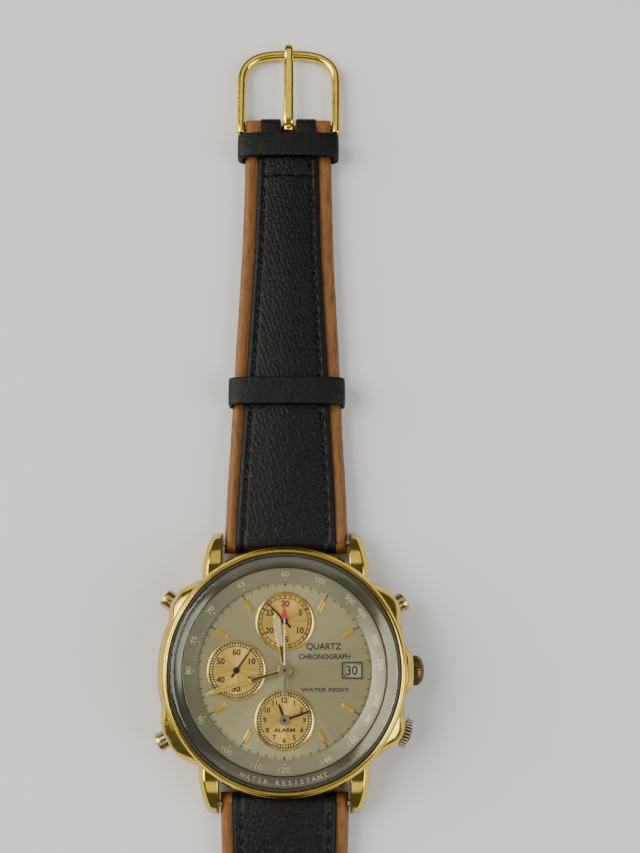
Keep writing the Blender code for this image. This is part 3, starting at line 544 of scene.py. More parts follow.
def cut(obj, *cutters):
    """Subtracts helper meshes in millimetres, then removes the helpers."""
    for index, bm in enumerate(cutters):
        bmesh.ops.recalc_face_normals(bm, faces=bm.faces)
        mesh = bpy.data.meshes.new("cutter")
        bm.to_mesh(mesh)
        bm.free()
        mesh.transform(Matrix.Scale(MM, 4))
        tool = bpy.data.objects.new("cutter", mesh)
        bpy.context.scene.collection.objects.link(tool)
        modifier = obj.modifiers.new(f"cut_{index}", "BOOLEAN")
        modifier.operation = "DIFFERENCE"
        modifier.solver = "EXACT"
        modifier.object = tool
        graph = bpy.context.evaluated_depsgraph_get()
        result = bpy.data.meshes.new_from_object(obj.evaluated_get(graph))
        obj.modifiers.clear()
        old = obj.data
        obj.data = result
        bpy.data.meshes.remove(old)
        bpy.data.objects.remove(tool)
        bpy.data.meshes.remove(mesh)
    obj.data.shade_smooth()
    obj.data.set_sharp_from_angle(angle=math.radians(30))


def along_x(y, z):
    return Matrix.Translation((0, y, z)) @ Matrix.Rotation(math.pi / 2, 4, "Y")


def outward(place, radius, direction):
    """Local +Z points outward from the case's side, and the origin is the outer end."""
    at, way = math.radians(place), math.radians(direction)
    point = Vector((radius * math.sin(at), radius * math.cos(at), STEM_Z))
    out = Vector((math.sin(way), math.cos(way), 0))
    side = Vector((0, 0, 1)).cross(out)
    turn = Matrix((side, out.cross(side), out)).transposed()
    return Matrix.Translation(point) @ turn.to_4x4()


def through(points, steps):
    """A smooth line through the points, with `steps` pieces between neighbours."""
    points = [np.array(p, float) for p in points]
    padded = [2 * points[0] - points[1], *points, 2 * points[-1] - points[-2]]
    line = []
    for a, b, c, d in zip(padded, padded[1:], padded[2:], padded[3:]):
        for step in range(steps):
            t = step / steps
            value = 2 * b + (c - a) * t + (2 * a - 5 * b + 4 * c - d) * t * t
            line.append(0.5 * (value + (3 * b - a - 3 * c + d) * t**3))
    line.append(points[-1])
    return line


# ---------------------------------------------------------------- case


def lobe(angle, centre, half_width, flat, height):
    away = abs((angle - centre + 180) % 360 - 180)
    share = min(1.0, max(0.0, (half_width - away) / (half_width - flat)))
    return height * share * share * (3 - 2 * share)


# Swellings of the case's outline: middle, half width and flat half in degrees, and height.
LOBES = (
    (58.0, 16.0, 1.0, 1.4),
    (90.0, 12.0, 6.0, 0.85),
    (119.0, 15.0, 1.0, 1.45),
    (239.0, 22.0, 3.0, 1.7),
    (270.0, 34.0, 16.0, 0.55),
    (303.0, 16.0, 2.0, 1.45),
    (0.0, 44.0, 12.0, 0.3),
    (180.0, 44.0, 12.0, 0.3),
)


def outline_radius(turn):
    return 19.25 + max(lobe(math.degrees(turn), *each) for each in LOBES)


def bezel_profile(turn):
    reach = outline_radius(turn)
    inside = ((16.0, 7.0), (16.0, 6.56), (reach - 0.5, 6.56))
    rim = ((reach - 0.12, 6.72), (reach, 7.1), (reach - 0.03, 7.45), (reach - 0.3, 7.74))
    span = reach - 0.3 - 19.02
    shares = (0.85, 0.7, 0.55, 0.4, 0.25, 0.12, 0.04)
    flank = [(19.02 + span * s, 8.70 - 0.96 * s + 0.42 * s * (1 - s)) for s in shares]
    crest = ((18.98, 8.72), (18.90, 8.80), (18.84, 8.98), (18.66, 9.24), (18.50, 9.37))
    top = ((18.38, 9.40), (18.26, 9.36), (18.12, 9.24), (18.05, 9.14), (18.05, 7.0))
    return [*inside, *rim, *flank, *crest, *top]


def case_profile(turn):
    reach = outline_radius(turn)
    points = [(15.0, 6.48), (15.0, 2.0), (15.9, 2.0), (15.9, 1.1), (17.4, 1.1), (reach - 2.2, 1.62)]
    points += [(reach - 1.25, 2.2), (reach - 0.75, 3.0), (reach - 0.42, 4.0), (reach - 0.25, 5.0)]
    points += [(reach - 0.2, 5.9), (reach - 0.28, 6.3), (reach - 0.5, 6.48)]
    return points


# Where the plating is worn: place and width in degrees, and strength.
WORN = ((303, 9, 0.75), (239, 10, 0.6), (58, 9, 0.55), (119, 9, 0.3), (90, 9, 0.4))


def lobe_wear(spots):
    """Plating is thin where the bezel stands proud and at its rim."""
    angles = np.degrees(np.arctan2(spots[:, 0], spots[:, 1])) % 360
    far = np.hypot(spots[:, 0], spots[:, 1])
    worn = np.zeros(len(spots))
    for centre, width, strength in WORN:
        away = np.abs((angles - centre + 180) % 360 - 180)
        worn = np.maximum(worn, 0.72 * strength * np.clip(1.4 - away / width, 0, 1))
    return worn * np.clip((far - 19.3) / 1.0, 0, 1) + 0.08


def even_wear(amount):
    return lambda spots: np.full(len(spots), amount)


def seen_from(place, spots):
    """The points in the frame of a pusher or crown."""
    return np.c_[spots, np.ones(len(spots))] @ np.array(place.inverted()).T


def lug_wear(spots):
    return 0.55 * np.clip((np.abs(spots[:, 1]) - 18.9) / 2.6, 0, 1) + 0.08


# Place on the case in degrees, distance of the outer end, and the way it points.
PUSHERS = {
    "start_stop_pusher": (60.0, 22.2, 60.0),
    "alarm_pusher": (240.5, 22.9, 239.5),
    "split_reset_pusher": (300.8, 22.6, 304.0),
}
CROWNS = {"crown": (90.0, 21.95, 90.0), "alarm_crown": (116.8, 22.0, 109.0)}
# Distance from the middle, outer side, underside and top of each section of a lug.
LUG_ROWS = (
    (12.5, 13.3, 1.6, 5.9),
    (16.0, 13.25, 1.35, 6.3),
    (18.0, 12.95, 1.2, 6.05),
    (19.6, 12.6, 1.15, 5.45),
    (20.8, 12.25, 1.15, 4.7),
    (21.5, 12.0, 1.2, 3.9),
    (21.85, 11.75, 1.45, 3.1),
)


def lug_mesh(side_x, side_y):
    loops = []
    for y, outer, low, high in through(LUG_ROWS, 5):
        near = min(1.0, max(0.0, (21.85 - y) / 1.2))
        soft = 0.22 + 0.5 * (1 - near)
        corners = [(10.2, low), (outer - 0.4, low), (outer, low + 0.5)]
        corners += [(outer, high - 0.95), (outer - 0.85, high), (10.2, high)]
        loops.append([(side_x * x, side_y * y, z) for x, z in rounded_loop(corners, soft, 4)])
    return tube_grid(bmesh.new(), loops)


def make_case():
    band = lathe(case_profile, FINE)
    case = finish("case_band", band, "case_gold", "case", ["case_middle"], 30, lobe_wear)
    for way in (1, -1):
        arch = [(2.6 * math.cos(a * math.pi / 24), 2.6 * math.sin(a * math.pi / 24)) for a in range(25)]
        outline = [(BAR_Y + y, BAR_Z + z) for y, z in arch] + [(BAR_Y - 2.6, -1.0), (BAR_Y + 2.6, -1.0)]
        loops = [[(x, way * y, z) for y, z in outline] for x in (-10.18, 10.18)]
        cut(case, tube_grid(bmesh.new(), loops))
    bore = ((0, -7.0), (1.2, -7.0), (1.2, -3.1), (1.7, -3.1), (1.7, 2.0), (0, 2.0))
    for spot in PUSHERS.values():
        cut(case, lathe(bore, 48, outward(*spot)))
    for name, spot in CROWNS.items():
        face, reach = (-2.35, 2.55) if name == "crown" else (-2.1, 2.5)
        bore = ((0, -7.0), (0.6, -7.0), (0.6, face), (reach, face), (reach, 2.0), (0, 2.0))
        cut(case, lathe(bore, 64, outward(*spot)))
    for hour, side_y in ((12, 1), (6, -1)):
        for side, side_x in (("right", 1), ("left", -1)):
            lug = lug_mesh(side_x, side_y)
            finish(f"lug_{hour}_{side}", lug, "polished_gold", "case", (), 38, lug_wear)

    bezel = lathe(bezel_profile, 2 * FINE)
    finish("bezel_polished", bezel, "polished_gold", "case", ["bezel"], 40, lobe_wear)
    dome = [(0, 8.32), (17.7, 8.32), (17.7, 9.18), (17.62, 9.28), (17.42, 9.42), (17.3, 9.48)]
    dome += [(r, 9.8 - 0.31 * (r / 17.3) ** 2) for r in (16.6, 15, 13, 11, 9, 7, 5, 3, 1.5)] + [(0, 9.8)]
    finish("crystal_dome", lathe(dome, 192), "glass", "case", ["crystal"], 45)
    seal = [(17.74, 8.34), (17.99, 8.34), (17.99, 9.1), (17.95, 9.18), (17.8, 9.18), (17.74, 9.1)]
    finish("crystal_seal", lathe(seal, 192), "seal", "case", ["crystal_gasket"], 30)
    flange = rounded(
        [(15.97, 7.05), (17.98, 7.05), (17.98, 8.27), (17.6, 8.27), (16.02, 7.72), (15.97, 7.6)], 0.05, 2
    )
    finish("flange_mirror", lathe(flange, 192), "flange_metal", "case", ["flange_ring"], 30)
    scale = rounded(
        [(13.6, 6.75), (15.93, 6.75), (15.93, 7.5), (15.85, 7.6), (15.72, 7.6), (13.62, 6.98)], 0.04, 2
    )
    finish(
        "tachymeter_scale", lathe(scale, 192), "scale_metal", "case", ["tachymeter_ring"], 30
    )
    back = [(0, 0), (12.6, 0), (12.7, 0.05), (12.9, 0.05), (13.0, 0), (16.7, 0), (17.1, 0.14), (17.2, 0.35)]
    back += [(17.2, 1.05), (15.2, 1.05), (15.2, 1.95), (14.4, 1.95), (14.4, 0.9), (0, 0.9)]
    cover = finish(
        "case_back_cover", lathe(back, ROUND), "turned_steel", "case", ["case_back"], 30
    )
    notches = []
    for index in range(6):
        spot = Matrix.Rotation(math.radians(60 * index + 30), 4, "Z") @ Matrix.Translation((0, 15.6, 0))
        corners = [Vector((x, y, 0)) for x, y in rounded_loop(rectangle(-0.9, -0.55, 0.9, 0.55), 0.3, 3)]
        loops = [[spot @ (v + Vector((0, 0, z))) for v in corners] for z in (-0.5, 0.28)]
        notches.append(tube_grid(bmesh.new(), loops))
    cut(cover, *notches)


def make_controls():
    profile = [
        (0, -8.3), (0.5, -8.3), (0.55, -8.2), (0.55, -2.05), (1.36, -2.05), (1.42, -1.98), (1.43, -1.0)
    ]
    profile += [(1.43, -0.94), (1.46, -0.9), (1.5, -0.86), (1.5, -0.34)]
    profile += [(1.44, -0.2), (1.28, -0.06), (1.1, 0.0), (0.5, 0.0), (0, 0.0)]
    for name, spot in PUSHERS.items():
        place = outward(*spot)

        def cap_wear(spots, place=place):
            return 0.5 * np.clip((seen_from(place, spots)[:, 2] + 0.4) / 0.35, 0, 1) + 0.2

        shape = lathe(profile, 64, place)
        finish(f"{name}_cap", shape, "worn_gold", name, [name], 35, cap_wear)

    def fluted(count, depth, low, high, least, power=0.6):
        """Grooves round an edge: the radius at each turn, radius and height."""

        def reach(turn, radius, height):
            if not low <= height <= high or radius < least:
                return radius
            wave = abs(math.sin(count * turn / 2))
            return radius - depth * (1 - wave**power)

        return reach

    profile = [
        (0, -11.0), (0.4, -11.0), (0.4, -2.2), (2.05, -2.2), (2.22, -2.14), (2.32, -2.02), (2.35, -1.9)
    ]
    profile += [(2.35, -1.45), (2.33, -1.2), (2.26, -0.98), (2.12, -0.74), (1.92, -0.52), (1.62, -0.31)]
    profile += [(1.22, -0.14), (0.65, -0.03), (0, 0.0)]
    shape = lathe(profile, 320, outward(*CROWNS["crown"]), flutes=fluted(30, 0.22, -2.05, -1.0, 2.25))
    finish("crown_coin_edge", shape, "old_brass", "crown", ["crown"], 40, even_wear(0.22))
    profile = [(0, -11.0), (0.4, -11.0), (0.4, -1.25), (2.0, -1.25), (2.2, -1.2), (2.3, -1.1), (2.3, -0.9)]
    profile += [
        (2.3, -0.5), (2.3, -0.34), (2.22, -0.26), (2.05, -0.24), (1.25, -0.24), (1.2, -0.2), (1.18, -0.08)
    ]
    profile += [(1.1, 0.0), (0.5, 0.0), (0, 0.0)]
    place = outward(*CROWNS["alarm_crown"])
    shape = lathe(profile, 320, place, flutes=fluted(26, 0.34, -1.12, -0.3, 2.15, 1.2))

    def ridge_wear(spots):
        local = seen_from(place, spots)
        return 0.05 + 1.2 * np.clip((np.hypot(local[:, 0], local[:, 1]) - 2.14) / 0.08, 0, 1)

    finish(
        "alarm_crown_ridged", shape, "ridge_gold", "alarm_crown", ["alarm_crown"], 40,
        ridge_wear
    )


# ---------------------------------------------------------------- dial

TOP, LEFT, LOW = (0.0, SUBDIAL), (-SUBDIAL, 0.0), (0.0, -SUBDIAL)
DIAL_Z = 6.7


def ticks(bm, radii, angle, width, z, centre=(0.0, 0.0)):
    outline = rectangle(-width / 2, radii[0], width / 2, radii[1])
    slab(bm, turned(outline, angle, centre), z, z + PRINT_THICK)


def ring(bm, inner, outer, z, centre):
    profile = [(inner, z), (outer, z), (outer, z + PRINT_THICK), (inner, z + PRINT_THICK)]
    lathe(profile, 96, Matrix.Translation((*centre, 0)), bm)


# Half width, inner end, outer end and height of each level of an hour marker.
BATON_LEVELS = (
    (0.42, 10.40, 12.45, 6.66),
    (0.42, 10.40, 12.45, 6.78),
    (0.36, 10.46, 12.39, 6.86),
    (0.17, 10.62, 12.24, 7.0),
)


def baton(bm, angle):
    """A faceted hour marker with a flat top and bevelled sides."""
    loops = []
    for half, start, end, z in BATON_LEVELS:
        corners = rectangle(-half, start, half, end)
        loops.append([(x, y, z) for x, y in turned(corners, angle)])
    tube_grid(bm, loops)


def make_dial():
    openings = [circle(0.95, 48), circle(0.34, 32, LEFT), circle(0.34, 32, TOP), circle(0.66, 32, LOW)]
    openings.append(rounded_loop(rectangle(9.1, -1.05, 11.9, 1.05), 0.12, 3))
    bm = bmesh.new()
    slab(bm, circle(14.85, 192), 6.3, DIAL_Z, openings)
    finish("dial_plate", bm, "dial_satin", "case", ["dial"], 30)

    bm = bmesh.new()
    for hour in (1, 2, 4, 5, 7, 8, 10, 11):
        baton(bm, 30 * hour)
    finish("hour_batons", bm, "baton_gold", "case", (), 20)
    frame_outline = rounded_loop(rectangle(8.9, -1.3, 12.1, 1.3), 0.1, 3)
    window = rounded_loop(rectangle(9.15, -1.05, 11.85, 1.05), 0.08, 3)
    bm = bmesh.new()
    slab(bm, frame_outline, 6.71, 6.86, [window], 0.05)
    finish("date_frame", bm, "date_border", "case", ["date_window_frame"], 25)
    bm = bmesh.new()
    slab(bm, rectangle(8.9, -1.3, 12.1, 1.3), 6.855, 6.885, [rectangle(9.12, -1.08, 11.88, 1.08)])
    finish("date_frame_line", bm, "print_black", "case")

    bm = bmesh.new()
    slab(bm, circle(12.4, 192), 5.9, 6.15, [circle(9.0, 128)])
    finish("date_disc", bm, "date_paper", "date_wheel", ["date_wheel"])
    bm = bmesh.new()
    for day in range(1, 32):
        angle = 90 - (30 - day) * 360 / 31
        wide = 1.75 if day > 9 else None
        write(bm, str(day), 1.42, polar(10.5, angle), 6.155, angle - 90, width=wide, weight=0.045)
    finish("date_numbers", bm, "print_black", "date_wheel")

    rim = [
        (4.26, 6.7), (4.64, 6.7), (4.64, 6.78), (4.61, 6.87), (4.54, 6.93), (4.46, 6.95), (4.37, 6.91),
        (4.29, 6.82)
    ]
    for hour, centre in ((12, TOP), (9, LEFT), (6, LOW)):
        place = Matrix.Translation((*centre, 0))
        names = (f"subdial_rim_{hour}", f"subdial_ring_{hour}")
        finish(names[0], lathe(rim, 96, place), "trim_gold", "case", [names[1]], 40)
        hole = 0.66 if hour == 6 else 0.34
        face = [(hole, 6.69), (4.28, 6.69), (4.28, 6.715), (hole, 6.715)]
        finish(f"subdial_face_{hour}", lathe(face, 128, place), "gold_sunray", "case")

    bm = bmesh.new()
    for index in range(300):
        angle = index * 1.2
        if abs(math.sin(math.radians(angle - 90))) < 0.02:
            continue
        if index % 25 == 0:
            ticks(bm, (12.98, 13.5), angle, 0.24, DIAL_Z)
            if index % 75:
                slab(bm, circle(0.15, 12, polar(12.74, angle)), DIAL_Z, DIAL_Z + PRINT_THICK)
        elif index % 5 == 0:
            ticks(bm, (13.0, 13.5), angle, 0.15, DIAL_Z)
        else:
            ticks(bm, (13.25, 13.45), angle, 0.05, DIAL_Z)
    finish("minute_track", bm, "print_black", "case")

    bm = bmesh.new()
    z = DIAL_Z + PRINT_THICK / 2
    write(bm, "QUARTZ", 1.0, (6.1, 3.6), z, width=5.5, weight=0.036)
    write(bm, "CHRONOGRAPH", 0.78, (6.2, 2.12), z, width=8.1, weight=0.034)
    write(bm, "WATER RESIST", 0.56, (6.3, -2.95), z, width=7.5, weight=0.024)
    finish("dial_lettering", bm, "print_black", "case")


def make_subdial_prints():
    z = 6.715
    bm = bmesh.new()
    ring(bm, 4.04, 4.17, z, TOP)
    ring(bm, 3.58, 3.70, z, TOP)
    for index in range(30):
        ticks(bm, (3.69, 4.06), index * 12, 0.26 if index % 5 == 0 else 0.15, z, TOP)
    for value in (5, 10, 15, 20, 25, 30):
        write(bm, str(value), 0.92, polar(2.80, value * 12, TOP), z + 0.008, weight=0.045)
    finish("counter_print_12", bm, "print_black", "case")

    beads = bmesh.new()
    bm = bmesh.new()
    for centre in (LEFT, LOW):
        ring(bm, 3.66, 4.22, z, centre)
        for index in range(60):
            ticks(beads, (3.79, 4.09), index * 6, 0.28 if index % 5 == 0 else 0.20, z + 0.01, centre)
    finish("counter_beads_9_and_6", beads, "bead_gold", "case")
    for value in (10, 20, 30, 40, 50, 60):
        write(bm, str(value), 0.92, polar(2.82, value * 6, LEFT), z + 0.008, weight=0.045)
    for value in range(1, 13):
        at = polar(3.04, value * 30, LOW)
        write(bm, str(value), 0.78, at, z + 0.008, weight=0.05 if value == 12 else 0.036)
    write(bm, "ALARM", 0.58, (0.0, -SUBDIAL - 1.5), z + 0.008, width=3.3, weight=0.03)
    finish("counter_print_9_and_6", bm, "print_black", "case")


SPEEDS = (1000, 500, 400, 300, 250, 200, 180, 160, 140, 120, 110, 100, 90, 80, 75, 70, 65, 60)


def make_ring_prints():
    """Tachymeter numbers lie on the sloped scale, each with a dot at its exact place."""
    bm = bmesh.new()
    slope = math.atan2(0.62, 2.1)
    for value in SPEEDS:
        angle = 360 * 60 / value
        part = bmesh.new()
        upright = 180.0 if 95 < angle < 265 else 0.0
        write(part, str(value), 0.84, (0, 0), 0, upright, width=0.62 * len(str(value)), weight=0.004)
        slab(part, circle(0.12, 12, (0.0, -0.80)), -PRINT_THICK / 2, PRINT_THICK / 2)
        tilt = Matrix.Rotation(slope, 4, "X")
        lift = Matrix.Translation((0, 14.95, 7.372))
        merge(bm, part, Matrix.Rotation(-math.radians(angle), 4, "Z") @ lift @ tilt)
    finish("tachymeter_numbers", bm, "print_gold", "case")
    bm = bmesh.new()
    words = "WATER RESISTANT"
    slope = math.atan2(0.55, 1.6)
    for index, letter in enumerate(words):
        if letter == " ":
            continue
        angle = 180 + (len(words) / 2 - index - 0.5) * 3.15
        part = bmesh.new()
        write(part, letter, 0.74, (0, 0), 0, weight=0.0)
        tilt = Matrix.Rotation(-slope, 4, "X")
        lift = Matrix.Translation((0, -16.85, 8.022))
        merge(bm, part, Matrix.Rotation(math.radians(180 - angle), 4, "Z") @ lift @ tilt)
    finish("flange_lettering", bm, "print_gold", "case")


# ---------------------------------------------------------------- hands


def ridge_hand(bm, rows, angle, low, high, centre=(0.0, 0.0)):
    """A hand with a ridge along its middle. Rows are (distance, half width)."""
    loops = []
    for far, half in rows:
        points = ((-half, low), (half, low), (half, low + 0.35 * (high - low)), (0.0, high))
        points += ((-half, low + 0.35 * (high - low)),)
        flat = turned([(x, far) for x, _ in points], angle, centre)
        loops.append([(x, y, z) for (x, y), (_, z) in zip(flat, points)])
    tube_grid(bm, loops)


def hub(bm, outer, inner, low, high, centre=(0.0, 0.0)):
    soft = min(0.05, (high - low) * 0.4)
    profile = [(inner, low), (outer, low), (outer, high - soft), (outer - soft, high), (inner, high)]
    if inner == 0:
        profile = [(0, low), *profile[1:]]
    lathe(profile, 64, Matrix.Translation((*centre, 0)), bm)


def framed_hand(body, angle, length, strip, half, low, high, hub_radius, bore, insert):
    """A pointed baton with a luminous strip, given as (start, end), set between gold edges."""
    name = f"{body}_baton"
    lume_from, lume_to = strip
    bm = bmesh.new()
    rows = [(hub_radius * 0.8, 0.27), (lume_from - 0.5, 0.30), (lume_from, half * 0.8)]
    rows += [(lume_to - 0.9, half), (lume_to, half * 0.86), (length - 0.35, 0.13), (length, 0.03)]
    top = low + 0.7 * (high - low)
    outline = [(h, y) for y, h in rows] + [(-h, y) for y, h in reversed(rows)]
    slot = [(half * 0.50, lume_from + 0.1), (half * 0.70, lume_to - 0.9), (half * 0.55, lume_to - 0.15)]
    slot += [(-x, y) for x, y in reversed(slot)]
    slab(bm, turned(outline, angle), low, top, [turned(slot, angle)], 0.02)
    hub(bm, hub_radius, bore, low, high)
    hub(bm, hub_radius * 0.72, bore, high - 0.01, high + 0.03)
    finish(name, bm, "hand_gold", body, [body], 25)
    # The neck ridge is coloured near-black as painted shade along the hand's shaft.
    bm = bmesh.new()
    ridge_hand(bm, [(hub_radius * 0.85, 0.20), (lume_from - 0.2, 0.26)], angle, top - 0.02, high)
    finish(name + "_neck", bm, "hand_neck", body, (), 25)
    bm = bmesh.new()
    slab(bm, turned(slot, angle), low + 0.01, top - 0.015)
    finish(name + "_insert", bm, insert, body)


SWEEP_ANGLE = 359.5


def make_hands():
    framed_hand("hour_hand", 350.5, 9.05, (3.9, 8.4), 0.58, 7.27, 7.4, 1.12, 0.88, "lume")
    framed_hand("minute_hand", 253.6, 12.75, (5.6, 11.6), 0.36, 7.52, 7.64, 1.0, 0.30, "baton_gold")

    bm = bmesh.new()
    ridge_hand(bm, [(0.5, 0.20), (1.4, 0.12), (8.0, 0.085)], SWEEP_ANGLE, 7.77, 7.86)
    hub(bm, 0.22, 0.0, 2.5, 7.9)
    finish(
        "sweep_hand", bm, "hand_rose", "chronograph_seconds", ["chronograph_seconds_hand"], 30
    )
    bm = bmesh.new()
    tail = [(-0.38, -3.95), (0.38, -3.95), (0.32, -0.6), (-0.32, -0.6)]
    slab(bm, turned(tail, SWEEP_ANGLE), 7.765, 7.85, (), 0.02)
    finish("sweep_hand_tail", bm, "hand_olive", "chronograph_seconds", (), 30)
    bm = bmesh.new()
    hub(bm, 0.84, 0.36, 7.76, 7.90)
    hub(bm, 0.40, 0.20, 7.78, 7.99)
    finish("sweep_hand_hub", bm, "hand_olive", "chronograph_seconds", (), 30)
    bm = bmesh.new()
    hub(bm, 0.21, 0.0, 7.86, 8.03)
    finish("sweep_hand_pin", bm, "black_paint", "chronograph_seconds", (), 30)
    bm = bmesh.new()
    triangle = [(-0.54, 8.0), (0.54, 8.0), (0.09, 10.0), (0.045, 12.6), (-0.045, 12.6), (-0.09, 10.0)]
    slab(bm, turned(triangle, SWEEP_ANGLE), 7.775, 7.865, (), 0.02)
    finish("sweep_hand_arrow", bm, "red_paint", "chronograph_seconds")

    small = (
        ("small_seconds_needle", "small_seconds", "small_seconds_hand", 35.0, LEFT, 4.05, 6.84),
        (
            "chronograph_minutes_needle", "chronograph_minutes", "chronograph_minutes_hand", 316.0, TOP,
            4.15, 6.84
        ),
    )
    for name, body, node, angle, centre, reach, low in small:
        bm = bmesh.new()
        rows = [(-1.3, 0.18), (-0.4, 0.13), (0.4, 0.14), (2.6, 0.105), (reach, 0.06)]
        ridge_hand(bm, rows, angle, low, low + 0.08, centre)
        hub(bm, 0.5, 0.0, low, low + 0.1, centre)
        hub(bm, 0.24, 0.0, 4.4, low + 0.18, centre)
        finish(name, bm, "black_paint", body, [node], 30)
    bm = bmesh.new()
    hub(bm, 0.2, 0.0, 7.0, 7.04, TOP)
    finish("counter_cap_12", bm, "steel", "chronograph_minutes")

    bm = bmesh.new()
    ridge_hand(bm, [(0.5, 0.15), (1.6, 0.19), (2.3, 0.15), (2.65, 0.05)], 339.5, 6.82, 6.91, LOW)
    finish("alarm_hour_needle", bm, "black_paint", "alarm_hour", ["alarm_hour_hand"], 30)
    bm = bmesh.new()
    hub(bm, 0.62, 0.36, 6.82, 6.91, LOW)
    hub(bm, 0.56, 0.36, 5.0, 6.9, LOW)
    finish("alarm_hour_collar", bm, "hand_gold", "alarm_hour")
    bm = bmesh.new()
    ridge_hand(bm, [(0.6, 0.15), (2.6, 0.17), (3.7, 0.12), (4.15, 0.05)], 71.0, 7.0, 7.09, LOW)
    hub(bm, 0.24, 0.0, 7.1, 7.2, LOW)
    finish(
        "alarm_minute_needle", bm, "black_paint", "alarm_minute", ["alarm_minute_hand"], 30
    )
    bm = bmesh.new()
    hub(bm, 0.8, 0.0, 7.0, 7.11, LOW)
    hub(bm, 0.28, 0.0, 4.5, 7.05, LOW)
    finish("alarm_minute_boss", bm, "hand_olive", "alarm_minute")


# ---------------------------------------------------------------- strap

# The strap's sizes are averaged over this much each way, and PEBBLE is the size of its grain.
EASING = 2.5
PEBBLE = 0.80
# Distance from the middle, width, underside, lining top and padding top.
SHORT_ROWS = np.array(
    (
        (20.3, 20.0, 1.15, 4.45, 5.15),
        (30.0, 19.3, 1.15, 3.90, 5.05),
        (43.0, 18.05, 1.20, 3.15, 4.65),
        (50.0, 17.45, 1.20, 3.02, 4.45),
        (71.0, 15.5, 1.20, 2.80, 4.10),
        (84.5, 14.9, 1.20, 2.70, 3.70),
        (92.0, 14.8, 1.10, 2.75, 3.45),
    )
)
LONG_ROWS = np.array(
    (
        (20.3, 20.0, 1.15, 4.45, 5.15),
        (26.0, 19.7, 0.60, 3.60, 4.80),
        (33.0, 19.2, 0.00, 2.60, 3.90),
        (54.0, 17.7, 0.00, 1.90, 3.15),
        (72.0, 16.6, 0.00, 1.70, 2.90),
        (90.0, 16.0, 0.00, 1.60, 2.40),
        (126.0, 16.0, 0.00, 1.50, 2.10),
        (130.5, 13.6, 0.00, 1.45, 1.95),
        (133.8, 8.6, 0.00, 1.40, 1.85),
        (135.3, 3.0, 0.00, 1.35, 1.80),
    )
)


def strap_at(rows, y):
    """Width, underside, lining top and padding top at each y, with the corners between rows eased."""
    total = 0
    for offset in np.linspace(-EASING, EASING, 7):
        near = np.clip(y + offset, rows[0, 0], rows[-1, 0])
        total = total + np.array([np.interp(near, rows[:, 0], rows[:, c]) for c in range(1, 5)])
    return total / 7


def hash_pair(i, j, seed):
    """Repeatable values from 0 to 1 for whole-number cells."""
    value = np.sin(i * 127.1 + j * 311.7 + seed * 74.7) * 43758.5453
    return value - np.floor(value)


def pebbles(x, y):
    """Height from 0 to 1 of leather pebbles: rounded cells with creases between them."""
    u = (x * 0.94 + y * 0.34) / (PEBBLE * 0.92)
    v = (y * 0.94 - x * 0.34) / (PEBBLE * 1.18)
    ci, cj = np.floor(u), np.floor(v)
    nearest = np.full(u.shape, 9.0)
    second = np.full(u.shape, 9.0)
    tone = np.zeros(u.shape)
    for di in (-1, 0, 1):
        for dj in (-1, 0, 1):
            i, j = ci + di, cj + dj
            px = i + 0.5 + 0.62 * (hash_pair(i, j, 1) - 0.5)
            py = j + 0.5 + 0.62 * (hash_pair(i, j, 2) - 0.5)
            far = np.hypot(u - px, v - py)
            closer = far < nearest
            second = np.where(closer, nearest, np.minimum(second, far))
            tone = np.where(closer, hash_pair(i, j, 3), tone)
            nearest = np.where(closer, far, nearest)
    crease = np.clip((second - nearest) / 0.42, 0, 1)
    return crease * crease * (3 - 2 * crease) * (0.62 + 0.38 * tone)


def ripple(x, y, size, seed):
    """Smooth hash noise from -1 to 1 with blobs of the size given."""
    u, v = x / size, y / size
    i, j = np.floor(u), np.floor(v)
    a, b = u - i, v - j
    a, b = a * a * (3 - 2 * a), b * b * (3 - 2 * b)
    low = hash_pair(i, j, seed) * (1 - a) + hash_pair(i + 1, j, seed) * a
    high = hash_pair(i, j + 1, seed) * (1 - a) + hash_pair(i + 1, j + 1, seed) * a
    return 2 * (low * (1 - b) + high * b) - 1


def solid_from_rows(name, x, y, z):
    """A closed mesh from arrays of shape (rows, points round each section)."""
    rows, around = x.shape
    points = np.stack((x, y, z), -1).reshape(-1, 3)
    faces = []
    for row in range(rows - 1):
        base, above = row * around, (row + 1) * around
        for index in range(around):
            after = (index + 1) % around
            faces.append((base + index, base + after, above + after, above + index))
    faces.append(tuple(range(around)))
    faces.append(tuple(range((rows - 1) * around, rows * around)))
    mesh = bpy.data.meshes.new(name)
    mesh.from_pydata(points.tolist(), [], faces)
    bm = bmesh.new()
    bm.from_mesh(mesh)
    bpy.data.meshes.remove(mesh)
    return bm


STITCH = 2.2
STITCH_IN = 1.3
STITCH_START = 22.0
GROOVE = 0.20
GROOVE_HALF = 0.30

# The panel is carried down over the spring bar, this many degrees from the top.
WRAP_ANGLE = 105.0
WRAP_INSIDE = 1.76
# The lining's half thickness round the spring bar and round the buckle bar.
LUG_ROUND = 1.75
BUCKLE_ROUND = 1.43


def margin_at(y, way):
    return 1.9 + (0.25 * np.clip((y - 30.0) / 40.0, 0, 1) if way > 0 else 0.0)


def panel_half(rows, y, way):
    width = strap_at(rows, y)[0]
    return np.maximum(width / 2 - margin_at(y, way), 0.45)


def sewn_groove(away, count):
    """Depth of the groove under a row of stitches, deepest at each hole. count is in stitches."""
    phase = count % 1.0
    pits = np.exp(-((np.minimum(phase, 1 - phase) / 0.13) ** 2))
    return (GROOVE + GROOVE * pits) * np.exp(-((away / GROOVE_HALF) ** 2))


